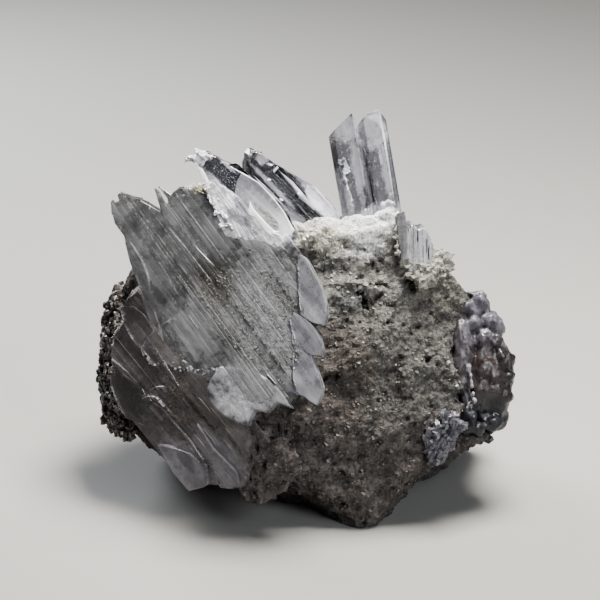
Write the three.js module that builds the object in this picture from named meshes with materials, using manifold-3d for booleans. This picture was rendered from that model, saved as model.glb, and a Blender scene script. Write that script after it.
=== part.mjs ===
// A gypsum hand specimen: clear selenite crystals grown on a lump of sugary grey matrix.
// Everything is drawn in the frame of its show face: x runs to the right across the face,
// y into the stone and z up the face. The face then leans back by SHOW_TILT, so that the
// specimen stands on its flat base. Sizes are in millimetres and angles in degrees.
import * as THREE from "three";
import { mergeVertices } from "three/addons/utils/BufferGeometryUtils.js";
import Module from "manifold-3d";

const wasm = await Module();
wasm.setup();

// Driving dimensions
const SHOW_TILT = 20;
const GAP = 0.35;
const STRIATION_DIP = 52;
const CREST_DIP = 45;
const PRISM_LEAN = 11;

// The matrix
const ROCK_CENTRE = new THREE.Vector3(0, 14, 33);
const ROCK_DETAIL = 12;
const EDGE_SOFTNESS = 0.8;
const SEEN_EDGE_ON = 0.05;
// Fracture faces of the lump: which way each one looks (right, into, up) and how far it is.
const FRACTURES = [
  { looks: [0.1, -1, 0.06], away: 26 },
  { looks: [-0.34, -1, 0.14], away: 25.5 },
  { looks: [0.5, -1, -0.02], away: 30.5 },
  { looks: [0.05, -0.92, -0.4], away: 27.6 },
  { looks: [-0.42, -0.36, -0.84], away: 27.2 },
  { looks: [0.72, -0.15, -0.68], away: 34 },
  { looks: [-0.95, -0.45, 0.1], away: 37 },
  { looks: [-1, 0.35, 0], away: 40 },
  { looks: [-0.75, 0.1, -0.62], away: 37 },
  { looks: [-0.72, 0.1, 0.62], away: 39 },
  { looks: [1, -0.15, -0.12], away: 38.5 },
  { looks: [0.75, 0.1, 0.66], away: 34.5 },
  { looks: [0.05, -0.3, 1], away: 32.5 },
  { looks: [0.02, 0.45, 0.9], away: 28.5 },
  { looks: [0.5, 0.9, 0.25], away: 32 },
  { looks: [-0.4, 1, 0.05], away: 31 },
  { looks: [0.1, 0.8, -0.6], away: 33 },
];
// Roughness of the broken surface: lumps of each size, and how far they rise.
const ROUGHNESS = [
  { size: 15, rise: 1.1, seed: 1 },
  { size: 5.5, rise: 1.1, seed: 2 },
  { size: 3, rise: 0.5, seed: 3 },
];
const LEDGES = { size: 9, rise: 1.2, seed: 5 };
// Lumps (positive rise) and hollows (negative rise) of the surface, each a soft swelling.
const SWELLINGS = [
  { at: [2, -7, 61], size: 5, rise: 1.6 },
  { at: [10, -7, 62], size: 5, rise: 4.4 },
  { at: [18.5, -7, 62], size: 4.5, rise: 5 },
  { at: [21, -11, 57], size: 3.5, rise: 1.6 },
  { at: [28, 0, 56], size: 4, rise: 1.4 },
  { at: [10, -12, 46], size: 4, rise: 1.4 },
  { at: [14, -13, 36], size: 7, rise: 1.2 },
  { at: [24, -12, 34], size: 6, rise: 0.9 },
  { at: [12, -1, 3], size: 7, rise: 1.6 },
  { at: [-6, -7, 14], size: 6, rise: 1.4 },
  { at: [32, -6, 40], size: 4.5, rise: -2.4 },
  { at: [4, -12, 20], size: 5, rise: -1 },
  { at: [26, -6, 16], size: 6, rise: -1.2 },
  { at: [-4, -12, 56], size: 5, rise: -1.4 },
];
// Open pits in the front of the matrix: where they are, how they slant and how big they are.
const PITS = [
  { at: [21.2, -11.5, 50], radii: [1, 3.4, 1.8], slant: 35 },
  { at: [13.1, -11.6, 45.6], radii: [0.8, 3.2, 2], slant: -20 },
  { at: [33.5, -3.5, 27], radii: [1.2, 2.4, 1.6], slant: 10 },
];

// Small helpers
const radians = THREE.MathUtils.degToRad;

// Repeatable random numbers between 0 and 1.
function seeded(seed) {
  let state = seed;
  return () => {
    state = (state + 0x6d2b79f5) | 0;
    let mixed = Math.imul(state ^ (state >>> 15), 1 | state);
    mixed = (mixed + Math.imul(mixed ^ (mixed >>> 7), 61 | mixed)) ^ mixed;
    return ((mixed ^ (mixed >>> 14)) >>> 0) / 4294967296;
  };
}

// A fixed random value between -1 and 1 for each point of a whole-number lattice.
function latticeValue(i, j, k, seed) {
  let mixed = Math.imul(i, 374761393) + Math.imul(j, 668265263) + Math.imul(k, 1274126177);
  mixed = Math.imul((mixed + seed * 974711) ^ (mixed >>> 13), 1103515245);
  mixed ^= mixed >>> 16;
  return ((mixed >>> 0) / 4294967296) * 2 - 1;
}

// The corners of a unit cube.
const CORNERS = [
  [0, 0, 0], [1, 0, 0], [0, 1, 0], [1, 1, 0],
  [0, 0, 1], [1, 0, 1], [0, 1, 1], [1, 1, 1],
];

// Smooth random lumps of a given size, between about -1 and 1.
function lumpiness(point, size, seed) {
  const cell = point.clone().divideScalar(size);
  const low = cell.clone().floor();
  const blend = cell.sub(low);
  const ease = (t) => t * t * (3 - 2 * t);
  const [tx, ty, tz] = [ease(blend.x), ease(blend.y), ease(blend.z)];
  let total = 0;
  for (const [i, j, k] of CORNERS) {
    const weight = (i ? tx : 1 - tx) * (j ? ty : 1 - ty) * (k ? tz : 1 - tz);
    total += weight * latticeValue(low.x + i, low.y + j, low.z + k, seed);
  }
  return total;
}

// A closed geometry whose triangles share their corners.
function shared(geometry) {
  geometry.deleteAttribute("normal");
  geometry.deleteAttribute("uv");
  return mergeVertices(geometry);
}

// A closed geometry as a solid, for joining and cutting.
function solid(geometry) {
  const merged = shared(geometry);
  const mesh = new wasm.Mesh({
    numProp: 3,
    vertProperties: merged.attributes.position.array,
    triVerts: Uint32Array.from(merged.index.array),
  });
  return new wasm.Manifold(mesh);
}

function joined(solids) {
  return solids.reduce((sum, next) => sum.add(next));
}

// A solid with an allowance round it: the sum of copies shifted along the corners of a cube.
function widened(body) {
  const shifts = CORNERS.map((corner) => corner.map((side) => (side - 0.5) * 2 * GAP));
  return joined([body, ...shifts.map((shift) => body.translate(shift))]);
}

// The largest body of a solid: crumbs left by a cut are dropped.
function mainBody(body) {
  const pieces = body.decompose();
  return pieces.reduce((best, next) => (next.volume() > best.volume() ? next : best));
}

const fractureFaces = FRACTURES.map(({ looks, away }) => ({
  normal: new THREE.Vector3(...looks).normalize(),
  away,
}));

// Distance from the centre to the rough surface, along one direction: that of the nearest
// fracture face, with the edges between faces worn soft.
function rockReach(direction) {
  let sum = 0;
  for (const { normal, away } of fractureFaces) {
    const facing = normal.dot(direction);
    if (facing > SEEN_EDGE_ON) {
      sum += Math.exp(-away / facing / EDGE_SOFTNESS);
    }
  }
  let reach = -EDGE_SOFTNESS * Math.log(sum);
  const point = direction.clone().multiplyScalar(reach).add(ROCK_CENTRE);
  for (const { at, size, rise } of SWELLINGS) {
    const apart = point.distanceTo(new THREE.Vector3(...at));
    reach += rise * Math.exp(-((apart / size) ** 2));
  }
  for (const { size, rise, seed } of ROUGHNESS) {
    reach += rise * lumpiness(point, size, seed);
  }
  const ledge = 1 - 2 * Math.abs(lumpiness(point, LEDGES.size, LEDGES.seed));
  return reach + LEDGES.rise * ledge;
}

// The lump, grown all round by an allowance.
function rockLump(allowance, detail = ROCK_DETAIL) {
  const lump = shared(new THREE.IcosahedronGeometry(1, detail));
  const corners = lump.attributes.position;
  const corner = new THREE.Vector3();
  for (let i = 0; i < corners.count; i++) {
    corner.fromBufferAttribute(corners, i).normalize();
    corner.multiplyScalar(rockReach(corner) + allowance).add(ROCK_CENTRE);
    corners.setXYZ(i, corner.x, corner.y, corner.z);
  }
  return solid(lump);
}

// How far a bevelled rim runs in, as a share of how deep it is.
const RIM_SLOPE = 0.9;

// A flat crystal: an outline in the show face with bevelled rims, as thick as stated.
// Its middle plane holds the outline, and its front looks along -y.
function tablet(outline, thickness, bevel) {
  const shape = new THREE.Shape(outline.map(([x, z]) => new THREE.Vector2(x, z)));
  const geometry = new THREE.ExtrudeGeometry(shape, {
    depth: thickness - 2 * bevel,
    bevelEnabled: bevel > 0,
    bevelThickness: bevel,
    bevelSize: bevel * RIM_SLOPE,
    bevelOffset: -bevel * RIM_SLOPE,
    bevelSegments: 1,
    steps: 1,
  });
  geometry.translate(0, 0, bevel - thickness / 2);
  geometry.rotateX(Math.PI / 2);
  return geometry;
}

// Turns a crystal in its own frame and then sets it at a place of the show face.
// dip lowers its right end, pitch tips its top towards the viewer, turn faces it to the left.
function placed(geometry, { at, dip = 0, pitch = 0, turn = 0 }) {
  geometry.rotateY(radians(dip));
  geometry.rotateX(radians(pitch));
  geometry.rotateZ(radians(-turn));
  geometry.translate(...at);
  return geometry;
}

const NIB_SHARE = 0.28;
const TIP_BLUNTNESS = 0.4;

// The outline of one blade that runs from head to tip along x, between two sides.
// Both ends are slanted as chisels: the head's upper side is cut back by headSlant, and the
// tip's lower side by a positive tipSlant or its upper side by a negative one.
function bladeOutline({ head, tip, low, high, headSlant, tipSlant }) {
  const nib = NIB_SHARE * (high - low);
  const lowCutBack = Math.max(tipSlant, 0);
  const highCutBack = Math.max(-tipSlant, 0);
  return [
    [head + nib, low],
    [tip - nib - lowCutBack, low],
    [tip - TIP_BLUNTNESS * lowCutBack, low + nib],
    [tip - TIP_BLUNTNESS * highCutBack, high - nib],
    [tip - nib - highCutBack, high],
    [head + nib + headSlant, high],
    [head + headSlant / 2, high - nib],
    [head, low + nib],
  ];
}

// Parallel blades that share one set of directions, grown together into one solid.
function bladeGroup(blades, seat) {
  return blades.map(({ lift, thick, bevel, ...outline }) => {
    const geometry = tablet(bladeOutline(outline), thick, bevel);
    geometry.translate(0, thick / 2 - lift, 0);
    return solid(placed(geometry, seat));
  });
}

// A small crystal of a druse: a bevelled tablet with a slanted tip that stands on its foot.
function druseCrystal({ at, width, long, thick, lean, pitch, turn }) {
  const half = width / 2;
  const outline = [[-half, 0], [half, 0], [half, 0.72 * long], [0.2 * half, long], [-half, 0.84 * long]];
  const geometry = tablet(outline, thick, 0.3 * thick);
  geometry.rotateZ(radians(turn));
  geometry.rotateY(radians(lean));
  geometry.rotateX(radians(pitch));
  geometry.translate(...at);
  return solid(geometry);
}

// A knobbly rounded growth. Its knobbles rise by a share of its radius.
const KNOBBLES = { size: 2.2, rise: 0.16 };
function lobe({ at, radii, detail, seed }) {
  const knob = shared(new THREE.IcosahedronGeometry(1, detail));
  const corners = knob.attributes.position;
  const corner = new THREE.Vector3();
  for (let i = 0; i < corners.count; i++) {
    corner.fromBufferAttribute(corners, i).multiply(new THREE.Vector3(...radii));
    corner.multiplyScalar(1 + KNOBBLES.rise * lumpiness(corner, KNOBBLES.size, seed));
    corners.setXYZ(i, corner.x + at[0], corner.y + at[1], corner.z + at[2]);
  }
  return solid(knob);
}

// The crystals of the specimen, each group as a list of solids in the show face

const PLATE_SEAT = { at: [-18.5, -14.2, 46.9], dip: STRIATION_DIP, pitch: -6, turn: 13 };
const PLATE_BEVEL = 0.7;
const plateBlades = [
  { head: -21, tip: 24.3, low: -13.1, high: -6.4, headSlant: 0, tipSlant: -3, lift: 0.3, thick: 4 },
  { head: -29.5, tip: 26.3, low: -6.8, high: -1, headSlant: 1.5, tipSlant: 1.5, lift: 0.9, thick: 5 },
  { head: -28, tip: 28.4, low: -1.5, high: 3.2, headSlant: 8, tipSlant: 2, lift: 0.2, thick: 4 },
  { head: -21.8, tip: 29.9, low: 2.8, high: 8.7, headSlant: 2, tipSlant: -6, lift: 0.8, thick: 4.6 },
  { head: -16, tip: 22.6, low: 8.3, high: 13.1, headSlant: 5, tipSlant: -4, lift: 0, thick: 4 },
  { head: -9, tip: 17.9, low: 12.7, high: 20, headSlant: 9, tipSlant: -11, lift: 0.6, thick: 4.6 },
].map((blade) => ({ ...blade, bevel: PLATE_BEVEL }));

const LOWER_SEAT = { at: [-25, -8, 21.2], dip: STRIATION_DIP, pitch: 12, turn: 22 };
const lowerBlades = [
  { head: -27, tip: 19.5, low: 5.4, high: 11.6, headSlant: 0, tipSlant: 2, lift: 0.9, thick: 5 },
  { head: -27.5, tip: 22, low: 1.2, high: 6.1, headSlant: 3, tipSlant: -2, lift: 0.1, thick: 4.6 },
  { head: -25, tip: 19.6, low: -3.4, high: 1.8, headSlant: 4, tipSlant: 2, lift: 0.6, thick: 5 },
  { head: -17, tip: 15.8, low: -8.8, high: -2.8, headSlant: 0, tipSlant: 5, lift: 1.2, thick: 5.4 },
].map((blade) => ({ ...blade, bevel: PLATE_BEVEL }));

const CREST_FRONT_SEAT = { at: [-10.1, -10.5, 67.9], dip: CREST_DIP, pitch: -4, turn: 10 };
const crestFrontBlades = [
  { head: -14.5, tip: 12.5, low: -1.6, high: 2.2, headSlant: 3, tipSlant: -3, lift: 1, thick: 5.4 },
  { head: -13.5, tip: 11, low: -5.2, high: -1.2, headSlant: 2, tipSlant: 2, lift: 0.4, thick: 4.6 },
  { head: -5, tip: 9, low: -8.6, high: -4.8, headSlant: 2, tipSlant: 2, lift: -0.4, thick: 3.6 },
].map((blade) => ({ ...blade, bevel: 0.6 }));

const CREST_REAR_SEAT = { at: [-1.1, -1.5, 70], dip: CREST_DIP, pitch: 2, turn: -8 };
const crestRearBlades = [
  { head: -11, tip: 9, low: -5.8, high: -2.4, headSlant: 1.5, tipSlant: 2, lift: 0, thick: 4.4 },
  { head: -13.2, tip: 12.5, low: -2.8, high: 0.3, headSlant: 1.2, tipSlant: 2, lift: 0.7, thick: 5.6 },
  { head: -5, tip: 13, low: -0.1, high: 3.1, headSlant: 3.5, tipSlant: 2, lift: 0.1, thick: 4.8 },
].map((blade) => ({ ...blade, bevel: 0.5 }));

// The twin prisms, as outlines about the foot of the notch between their tips.
const PRISM_SEAT = { at: [15.2, 1, 60], dip: -PRISM_LEAN, pitch: 10, turn: -6 };
const PRISM_THICK = 5.2;
const leftPrism = [[-6.4, -8], [0.1, -8], [0.1, 23.8], [-1.1, 27], [-6.2, 21.6]];
const rightPrism = [[-0.1, -8], [6.4, -8], [6.2, 24.4], [4.2, 27.2], [2, 26.6], [-0.1, 23.6]];

const PRISM_BEVEL = 1;
const LEFT_PRISM_FORWARD = 0.9;

function twinPrisms() {
  const left = tablet(leftPrism, PRISM_THICK, PRISM_BEVEL);
  left.translate(0, -LEFT_PRISM_FORWARD, 0);
  const right = tablet(rightPrism, PRISM_THICK, PRISM_BEVEL);
  return [left, right].map((prism) => solid(placed(prism, PRISM_SEAT)));
}

const knobs = [
  { at: [-21.3, -8.7, 76.4], radii: [2.1, 2, 1.7], detail: 2, seed: 11 },
  { at: [-23.6, -8.7, 75.2], radii: [0.9, 0.9, 0.8], detail: 1, seed: 12 },
  { at: [-22.6, -8.7, 75.8], radii: [0.8, 0.7, 0.6], detail: 1, seed: 13 },
];
const smallCrestCrystal = {
  at: [-17.6, -9.5, 69.4], width: 1.4, long: 5.4, thick: 1.2, lean: -38, pitch: 0, turn: 20,
};

// Spikes and crust on the upper rim of the front plate.
const spikes = [
  { at: [-26.6, -8.5, 64.5], width: 1, long: 5.6, thick: 1, lean: -22, pitch: 4, turn: 10 },
  { at: [-25.6, -8.2, 64.5], width: 1.1, long: 6.2, thick: 1, lean: -34, pitch: 0, turn: -15 },
  { at: [-24.2, -8.5, 65], width: 1.2, long: 3.6, thick: 1.1, lean: -40, pitch: 8, turn: 30 },
];
const rimCrust = [
  { at: [-24.6, -8.6, 67], radii: [2.6, 2.6, 2.2], detail: 1, seed: 21 },
  { at: [-20.8, -8.6, 67.6], radii: [2.4, 2.4, 2.2], detail: 1, seed: 22 },
];

// The striated wedge on the right shoulder, as an outline of the show face, and its neighbours.
const wedgeOutline = [
  [-2.8, 53], [3, 53], [2.5, 58.4], [1.2, 62.2], [-0.7, 61.9], [-1.8, 63.2], [-3, 61],
];
const WEDGE_SEAT = { at: [24, -8.4, 0], turn: -14 };
const WEDGE_THICK = 3.8;
const WEDGE_BEVEL = 0.6;
const shoulderCrystal = {
  at: [27.2, -6.5, 54], width: 2.2, long: 5.4, thick: 2.4, lean: 20, pitch: 4, turn: -10,
};
const sideNubs = [
  { at: [26.6, -7.2, 54.8], radii: [2.6, 2.6, 2.2], detail: 1, seed: 33 },
  { at: [29.8, -5.6, 55.8], radii: [1.9, 2.2, 1.9], detail: 1, seed: 31 },
];

// The glossy rounded growth of the right side: one tall mass with knobs on its rim.
const rightLobes = [
  { at: [37.6, 4, 31], radii: [6.8, 8.2, 11.2], detail: 3, seed: 41 },
  { at: [35.6, 1, 45], radii: [3.9, 4.2, 3.9], detail: 1, seed: 42 },
  { at: [38.6, 3, 41], radii: [4, 4.6, 4.2], detail: 1, seed: 43 },
  { at: [33.2, -2.6, 36.6], radii: [2.6, 3.4, 6.4], detail: 1, seed: 44 },
  { at: [34.2, -3, 22.4], radii: [2, 2.6, 4], detail: 1, seed: 45 },
  { at: [39.6, 3, 22.6], radii: [4, 5, 4], detail: 1, seed: 46 },
];

// The druses: a crust over a rounded region of the rock, with small crystals strewn on it.
const flank = {
  crust: { at: [-43, 11, 34], radii: [7, 13, 19], thick: 1.8 },
  strewn: {
    count: 26, seed: 4, right: [-43, -38], into: [-1, 22], up: [17, 53], width: [3.4, 5.6],
    long: 1.35, sunk: 0.2, splay: 0.8,
  },
};
const lowPatch = {
  crust: { at: [28.5, -5, 17], radii: [4, 4.5, 4.5], thick: 1.2 },
  strewn: {
    count: 10, seed: 9, right: [25.5, 32], into: [-9, -3], up: [12.5, 21], width: [2.6, 4.2],
    long: 1.4, sunk: 0, splay: 1,
  },
};
const CRUST_DETAIL = 7;

function crust({ at, radii, thick }) {
  const region = new THREE.IcosahedronGeometry(1, 1);
  region.scale(...radii);
  region.translate(...at);
  return rockLump(thick, CRUST_DETAIL).intersect(solid(region));
}

// A blocky crystal of a druse: twenty flat faces, longer than it is wide.
function block(width, long) {
  const geometry = new THREE.IcosahedronGeometry(width / 2, 0);
  geometry.scale(1, 0.75, long);
  return geometry;
}

const UPRIGHT = new THREE.Vector3(0, 0, 1);

// Small crystals strewn over part of the rock's side, their middles near its surface.
function strewn({ count, seed, right, into, up, width, long, sunk, splay }) {
  const random = seeded(seed);
  const between = ([low, high]) => low + (high - low) * random();
  const crystals = [];
  for (let i = 0; i < count; i++) {
    const aim = new THREE.Vector3(between(right), between(into), between(up));
    const direction = aim.sub(ROCK_CENTRE).normalize();
    const middle = direction.clone().multiplyScalar(rockReach(direction) - sunk).add(ROCK_CENTRE);
    const geometry = block(between(width), long);
    geometry.rotateZ(random() * Math.PI);
    const tilt = new THREE.Vector3(random() - 0.5, random() - 0.5, random() - 0.5);
    const growth = direction.clone().addScaledVector(tilt, splay).normalize();
    geometry.applyQuaternion(new THREE.Quaternion().setFromUnitVectors(UPRIGHT, growth));
    geometry.translate(middle.x, middle.y, middle.z);
    crystals.push(solid(geometry));
  }
  return crystals;
}

// Assembly: the groups are stood up, cut where they meet the rock, and named

const tilted = (body) => body.rotate([-SHOW_TILT, 0, 0]);
// A block that takes away what is below the base.
const BLOCK = { wide: 300, deep: 100 };
const baseCutter = new THREE.BoxGeometry(BLOCK.wide, BLOCK.wide, BLOCK.deep);
baseCutter.translate(0, 0, -BLOCK.deep / 2);
const belowBase = solid(baseCutter);

const pits = PITS.map(({ at, radii, slant }) => {
  const geometry = new THREE.IcosahedronGeometry(1, 1);
  geometry.scale(...radii);
  geometry.rotateY(radians(slant));
  geometry.translate(...at);
  return solid(geometry);
});
const rock = mainBody(tilted(rockLump(0).subtract(joined(pits))).subtract(belowBase));
const rockWithGap = tilted(rockLump(GAP));

const MATRIX = { color: 0x8c8a82, roughness: 0.95, metalness: 0 };
const CLEAR = { color: 0xdfe3e8, roughness: 0.12, metalness: 0, transparent: true, opacity: 0.6 };
const FROSTED = { color: 0xd6d6d4, roughness: 0.35, metalness: 0, transparent: true, opacity: 0.7 };
const DRUSE = { color: 0x77756f, roughness: 0.4, metalness: 0 };
const LAVENDER = { color: 0xb9aeb6, roughness: 0.3, metalness: 0 };

const specimen = new THREE.Group();

function addNode(name, body, look) {
  const { vertProperties, triVerts, numProp } = body.getMesh();
  const geometry = new THREE.BufferGeometry();
  const positions = new Float32Array((vertProperties.length / numProp) * 3);
  for (let i = 0; i < positions.length / 3; i++) {
    positions.set(vertProperties.subarray(numProp * i, numProp * i + 3), 3 * i);
  }
  geometry.setAttribute("position", new THREE.BufferAttribute(positions, 3));
  geometry.setIndex(new THREE.BufferAttribute(triVerts, 1));
  geometry.computeVertexNormals();
  const mesh = new THREE.Mesh(geometry, new THREE.MeshStandardMaterial({ ...look, flatShading: true }));
  mesh.name = name;
  specimen.add(mesh);
}

// The crystal groups, each with its solids and its look.
const groups = [
  {
    name: "crest_front",
    solids: [
      ...bladeGroup(crestFrontBlades, CREST_FRONT_SEAT),
      ...knobs.map(lobe),
      druseCrystal(smallCrestCrystal),
    ],
    look: FROSTED,
  },
  { name: "crest_rear", solids: bladeGroup(crestRearBlades, CREST_REAR_SEAT), look: CLEAR },
  {
    name: "front_plate",
    solids: [
      ...bladeGroup(plateBlades, PLATE_SEAT),
      ...spikes.map(druseCrystal),
      ...rimCrust.map(lobe),
    ],
    look: CLEAR,
  },
  { name: "lower_plate", solids: bladeGroup(lowerBlades, LOWER_SEAT), look: CLEAR },
  { name: "twin_prisms", solids: twinPrisms(), look: CLEAR },
  {
    name: "side_prisms",
    solids: [
      solid(placed(tablet(wedgeOutline, WEDGE_THICK, WEDGE_BEVEL), WEDGE_SEAT)),
      druseCrystal(shoulderCrystal),
      ...sideNubs.map(lobe),
    ],
    look: FROSTED,
  },
  { name: "right_lobes", solids: rightLobes.map(lobe), look: LAVENDER },
  { name: "left_flank_druse", solids: [crust(flank.crust), ...strewn(flank.strewn)], look: DRUSE },
  { name: "low_crystal_patch", solids: [crust(lowPatch.crust), ...strewn(lowPatch.strewn)], look: FROSTED },
];

// Each group is cut by the grown rock and by the groups that came before it.
addNode("matrix_rock", rock, MATRIX);
let taken = rockWithGap;
for (const { name, solids, look } of groups) {
  const grown = tilted(joined(solids));
  const body = mainBody(grown.subtract(taken).subtract(belowBase));
  addNode(name, body, look);
  taken = taken.add(widened(grown));
}

// The origin is the middle of the base.
const extent = new THREE.Box3().setFromObject(specimen);
const middle = extent.getCenter(new THREE.Vector3());
specimen.position.set(-middle.x, -middle.y, -extent.min.z);

export default specimen;
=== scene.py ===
# %% [markdown]
# # A gypsum hand specimen
# Clear selenite crystals stand and lie on a lump of sugary gypsum rock. The solids of the
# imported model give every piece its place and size. This lesson dresses them: it grows the
# crystals again from flat faces and fine strips, roughens the rock and covers it with grains,
# and gives each mineral its own material.

import math
import random

import bmesh
import bpy
import numpy as np
from mathutils import Matrix, Vector, noise
from mathutils.bvhtree import BVHTree


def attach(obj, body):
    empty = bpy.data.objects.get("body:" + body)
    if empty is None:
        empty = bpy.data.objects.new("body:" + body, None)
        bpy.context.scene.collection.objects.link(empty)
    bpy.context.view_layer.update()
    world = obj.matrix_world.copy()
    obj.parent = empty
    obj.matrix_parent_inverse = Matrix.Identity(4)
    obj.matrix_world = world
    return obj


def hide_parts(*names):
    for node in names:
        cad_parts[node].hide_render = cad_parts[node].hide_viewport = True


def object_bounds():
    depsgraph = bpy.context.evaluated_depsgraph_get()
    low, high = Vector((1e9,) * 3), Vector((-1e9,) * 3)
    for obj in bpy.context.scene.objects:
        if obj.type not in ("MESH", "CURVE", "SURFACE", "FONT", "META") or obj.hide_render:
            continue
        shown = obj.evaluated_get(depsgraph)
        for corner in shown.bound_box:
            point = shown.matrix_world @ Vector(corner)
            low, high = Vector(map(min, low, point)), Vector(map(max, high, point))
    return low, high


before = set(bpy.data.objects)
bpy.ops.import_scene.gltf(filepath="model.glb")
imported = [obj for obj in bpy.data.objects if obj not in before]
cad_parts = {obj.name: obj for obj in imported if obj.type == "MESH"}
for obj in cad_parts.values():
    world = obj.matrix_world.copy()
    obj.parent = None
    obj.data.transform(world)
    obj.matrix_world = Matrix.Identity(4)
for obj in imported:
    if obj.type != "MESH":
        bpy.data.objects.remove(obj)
cad_low, cad_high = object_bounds()
print("the solids span", [round(1000 * side, 1) for side in cad_high - cad_low], "mm")

# %% [markdown]
# ## The show face
# A collector sets such a piece up with its best face to the front. Shapes are easiest to draw
# in the frame of that face: x to the right across it, y into the stone and z up it, in
# millimetres. The face leans back by 20 degrees, so one matrix turns such a place into the
# object's own frame in metres. A seat does the same for one crystal: it says where the crystal
# is rooted and how it is turned.

# %% Frames
MM = 0.001
SHOW_TILT = 20
BASE_SHIFT = (-0.2251, -23.9956, 0)
show_to_object = (
    Matrix.Scale(MM, 4)
    @ Matrix.Translation(BASE_SHIFT)
    @ Matrix.Rotation(math.radians(-SHOW_TILT), 4, "X")
)
object_to_show = show_to_object.inverted()


def seat(at, dip=0, pitch=0, turn=0):
    """The turn and place of a crystal in the show face: dip lowers its right end."""
    return (
        Matrix.Translation(at)
        @ Matrix.Rotation(math.radians(-turn), 4, "Z")
        @ Matrix.Rotation(math.radians(pitch), 4, "X")
        @ Matrix.Rotation(math.radians(dip), 4, "Y")
    )


PLATE = seat((-18.5, -14.2, 46.9), dip=52, pitch=-6, turn=13)
LOWER = seat((-25, -8, 21.2), dip=52, pitch=12, turn=22)
CREST_FRONT = seat((-10.1, -10.5, 67.9), dip=45, pitch=-4, turn=10)
CREST_REAR = seat((-1.1, -1.5, 70), dip=45, pitch=2, turn=-8)
PRISMS = seat((15.2, 1, 60), dip=-11, pitch=10, turn=-6)
WEDGE = seat((24, -8.4, 0), turn=-14)
print("the plate is rooted at", [round(c, 4) for c in show_to_object @ PLATE.translation])

# %% Meshes, objects and shares


def mesh_of(bm, name="shape"):
    """The mesh of a bmesh, which is freed."""
    mesh = bpy.data.meshes.new(name)
    bm.to_mesh(mesh)
    bm.free()
    return mesh


def linked(name, data):
    """An object that holds a mesh, a lamp or a camera, linked to the scene."""
    new = bpy.data.objects.new(name, data)
    bpy.context.collection.objects.link(new)
    return new


def clamped(value):
    """A share, kept between 0 and 1."""
    return min(max(value, 0), 1)


def from_centre(point, centre, radii):
    """How far a point lies from the centre of an ellipsoid: 1 is on its skin."""
    away = point - Vector(centre)
    return Vector([away[i] / radii[i] for i in range(3)]).length


# %% [markdown]
# ## Camera and light
# The picture was taken with a long lens from a little above. The specimen stands on a pale
# floor under three soft boxes. The room is kept darker than the lamps, because clear crystal
# has no colour of its own: it shows only what it bends and mirrors, and needs dark and bright.

# %% Camera
LENS = 180
FRAME_WIDTH = 126
SENSOR = 36
# The middle of the picture, in the show face.
aim = show_to_object @ Vector((-0.63, 0, 46.9))
look_back = Vector((0, -math.cos(math.radians(SHOW_TILT)), math.sin(math.radians(SHOW_TILT))))
camera_data = bpy.data.cameras.new("camera")
camera_data.lens = LENS
camera_data.sensor_width = SENSOR
camera_data.clip_start = 0.01
camera_data.clip_end = 20
camera = linked("camera", camera_data)
camera.location = aim + look_back * (LENS / SENSOR * FRAME_WIDTH * MM)
camera.rotation_euler = (-look_back).to_track_quat("-Z", "Y").to_euler()
bpy.context.scene.camera = camera
print("camera at", [round(c, 3) for c in camera.location])

# %% Colours and nodes


def linear(code):
    """A colour written as six sRGB hex digits, as the linear values that the shaders take."""
    channels = [int(code[i : i + 2], 16) / 255 for i in (1, 3, 5)]
    return [c / 12.92 if c <= 0.04045 else ((c + 0.055) / 1.055) ** 2.4 for c in channels] + [1]


def dimmed(code, share):
    """A colour taken down to a share of its light."""
    return [share * c for c in linear(code)[:3]] + [1]


def rgb(code):
    """A colour as a vector, to be mixed by hand."""
    return Vector(linear(code)[:3])


def add(tree, kind, inputs=None, **settings):
    """Adds a node with its settings. An input is a plain value or the output of another node."""
    new = tree.nodes.new("ShaderNode" + kind)
    for name, value in settings.items():
        setattr(new, name, value)
    for name, value in (inputs or {}).items():
        if isinstance(value, bpy.types.NodeSocket):
            tree.links.new(value, new.inputs[name])
        else:
            new.inputs[name].default_value = value
    return new


def new_material(name):
    """An empty node material, with its tree."""
    material = bpy.data.materials.new(name)
    material.use_nodes = True
    material.node_tree.nodes.clear()
    return material, material.node_tree


# %% Lamps and room
KEY_COLOUR = "#fffaf2"
FILL_COLOUR = "#f4f6fc"
ROOM_COLOUR = "#cbccce"
ROOM_LIGHT = 0.1


def soft_box(name, place, width, height, watts, colour):
    """A rectangular soft box that faces the specimen."""
    lamp = bpy.data.lights.new(name, "AREA")
    lamp.shape = "RECTANGLE"
    lamp.size = width
    lamp.size_y = height
    lamp.energy = watts
    lamp.color = linear(colour)[:3]
    stand = linked(name, lamp)
    stand.location = place
    stand.rotation_euler = (aim - Vector(place)).to_track_quat("-Z", "Y").to_euler()


soft_box("top_box", (0.07, 0.01, 0.36), width=0.18, height=0.14, watts=4.2, colour=KEY_COLOUR)
soft_box("front_box", (0.28, -0.42, 0.3), width=0.24, height=0.24, watts=1.8, colour=FILL_COLOUR)
soft_box("back_box", (-0.24, 0.34, 0.24), width=0.22, height=0.22, watts=2.6, colour=FILL_COLOUR)

room = bpy.data.worlds.new("room")
room.use_nodes = True
walls = room.node_tree.nodes["Background"]
walls.inputs["Color"].default_value = linear(ROOM_COLOUR)
walls.inputs["Strength"].default_value = ROOM_LIGHT
bpy.context.scene.world = room

# %% Floor
FLOOR_SIDE = 6
FLOOR_COLOUR = "#92928f"
floor_shape = bmesh.new()
bmesh.ops.create_grid(floor_shape, x_segments=1, y_segments=1, size=FLOOR_SIDE / 2)
floor = linked("floor", mesh_of(floor_shape, "floor"))
floor_paint, floor_tree = new_material("matt pale paper")
paper = add(floor_tree, "BsdfPrincipled", {"Base Color": linear(FLOOR_COLOUR), "Roughness": 0.9})
add(floor_tree, "OutputMaterial", {"Surface": paper.outputs[0]})
floor.data.materials.append(floor_paint)
print("the floor is", FLOOR_SIDE, "m wide")

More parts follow.
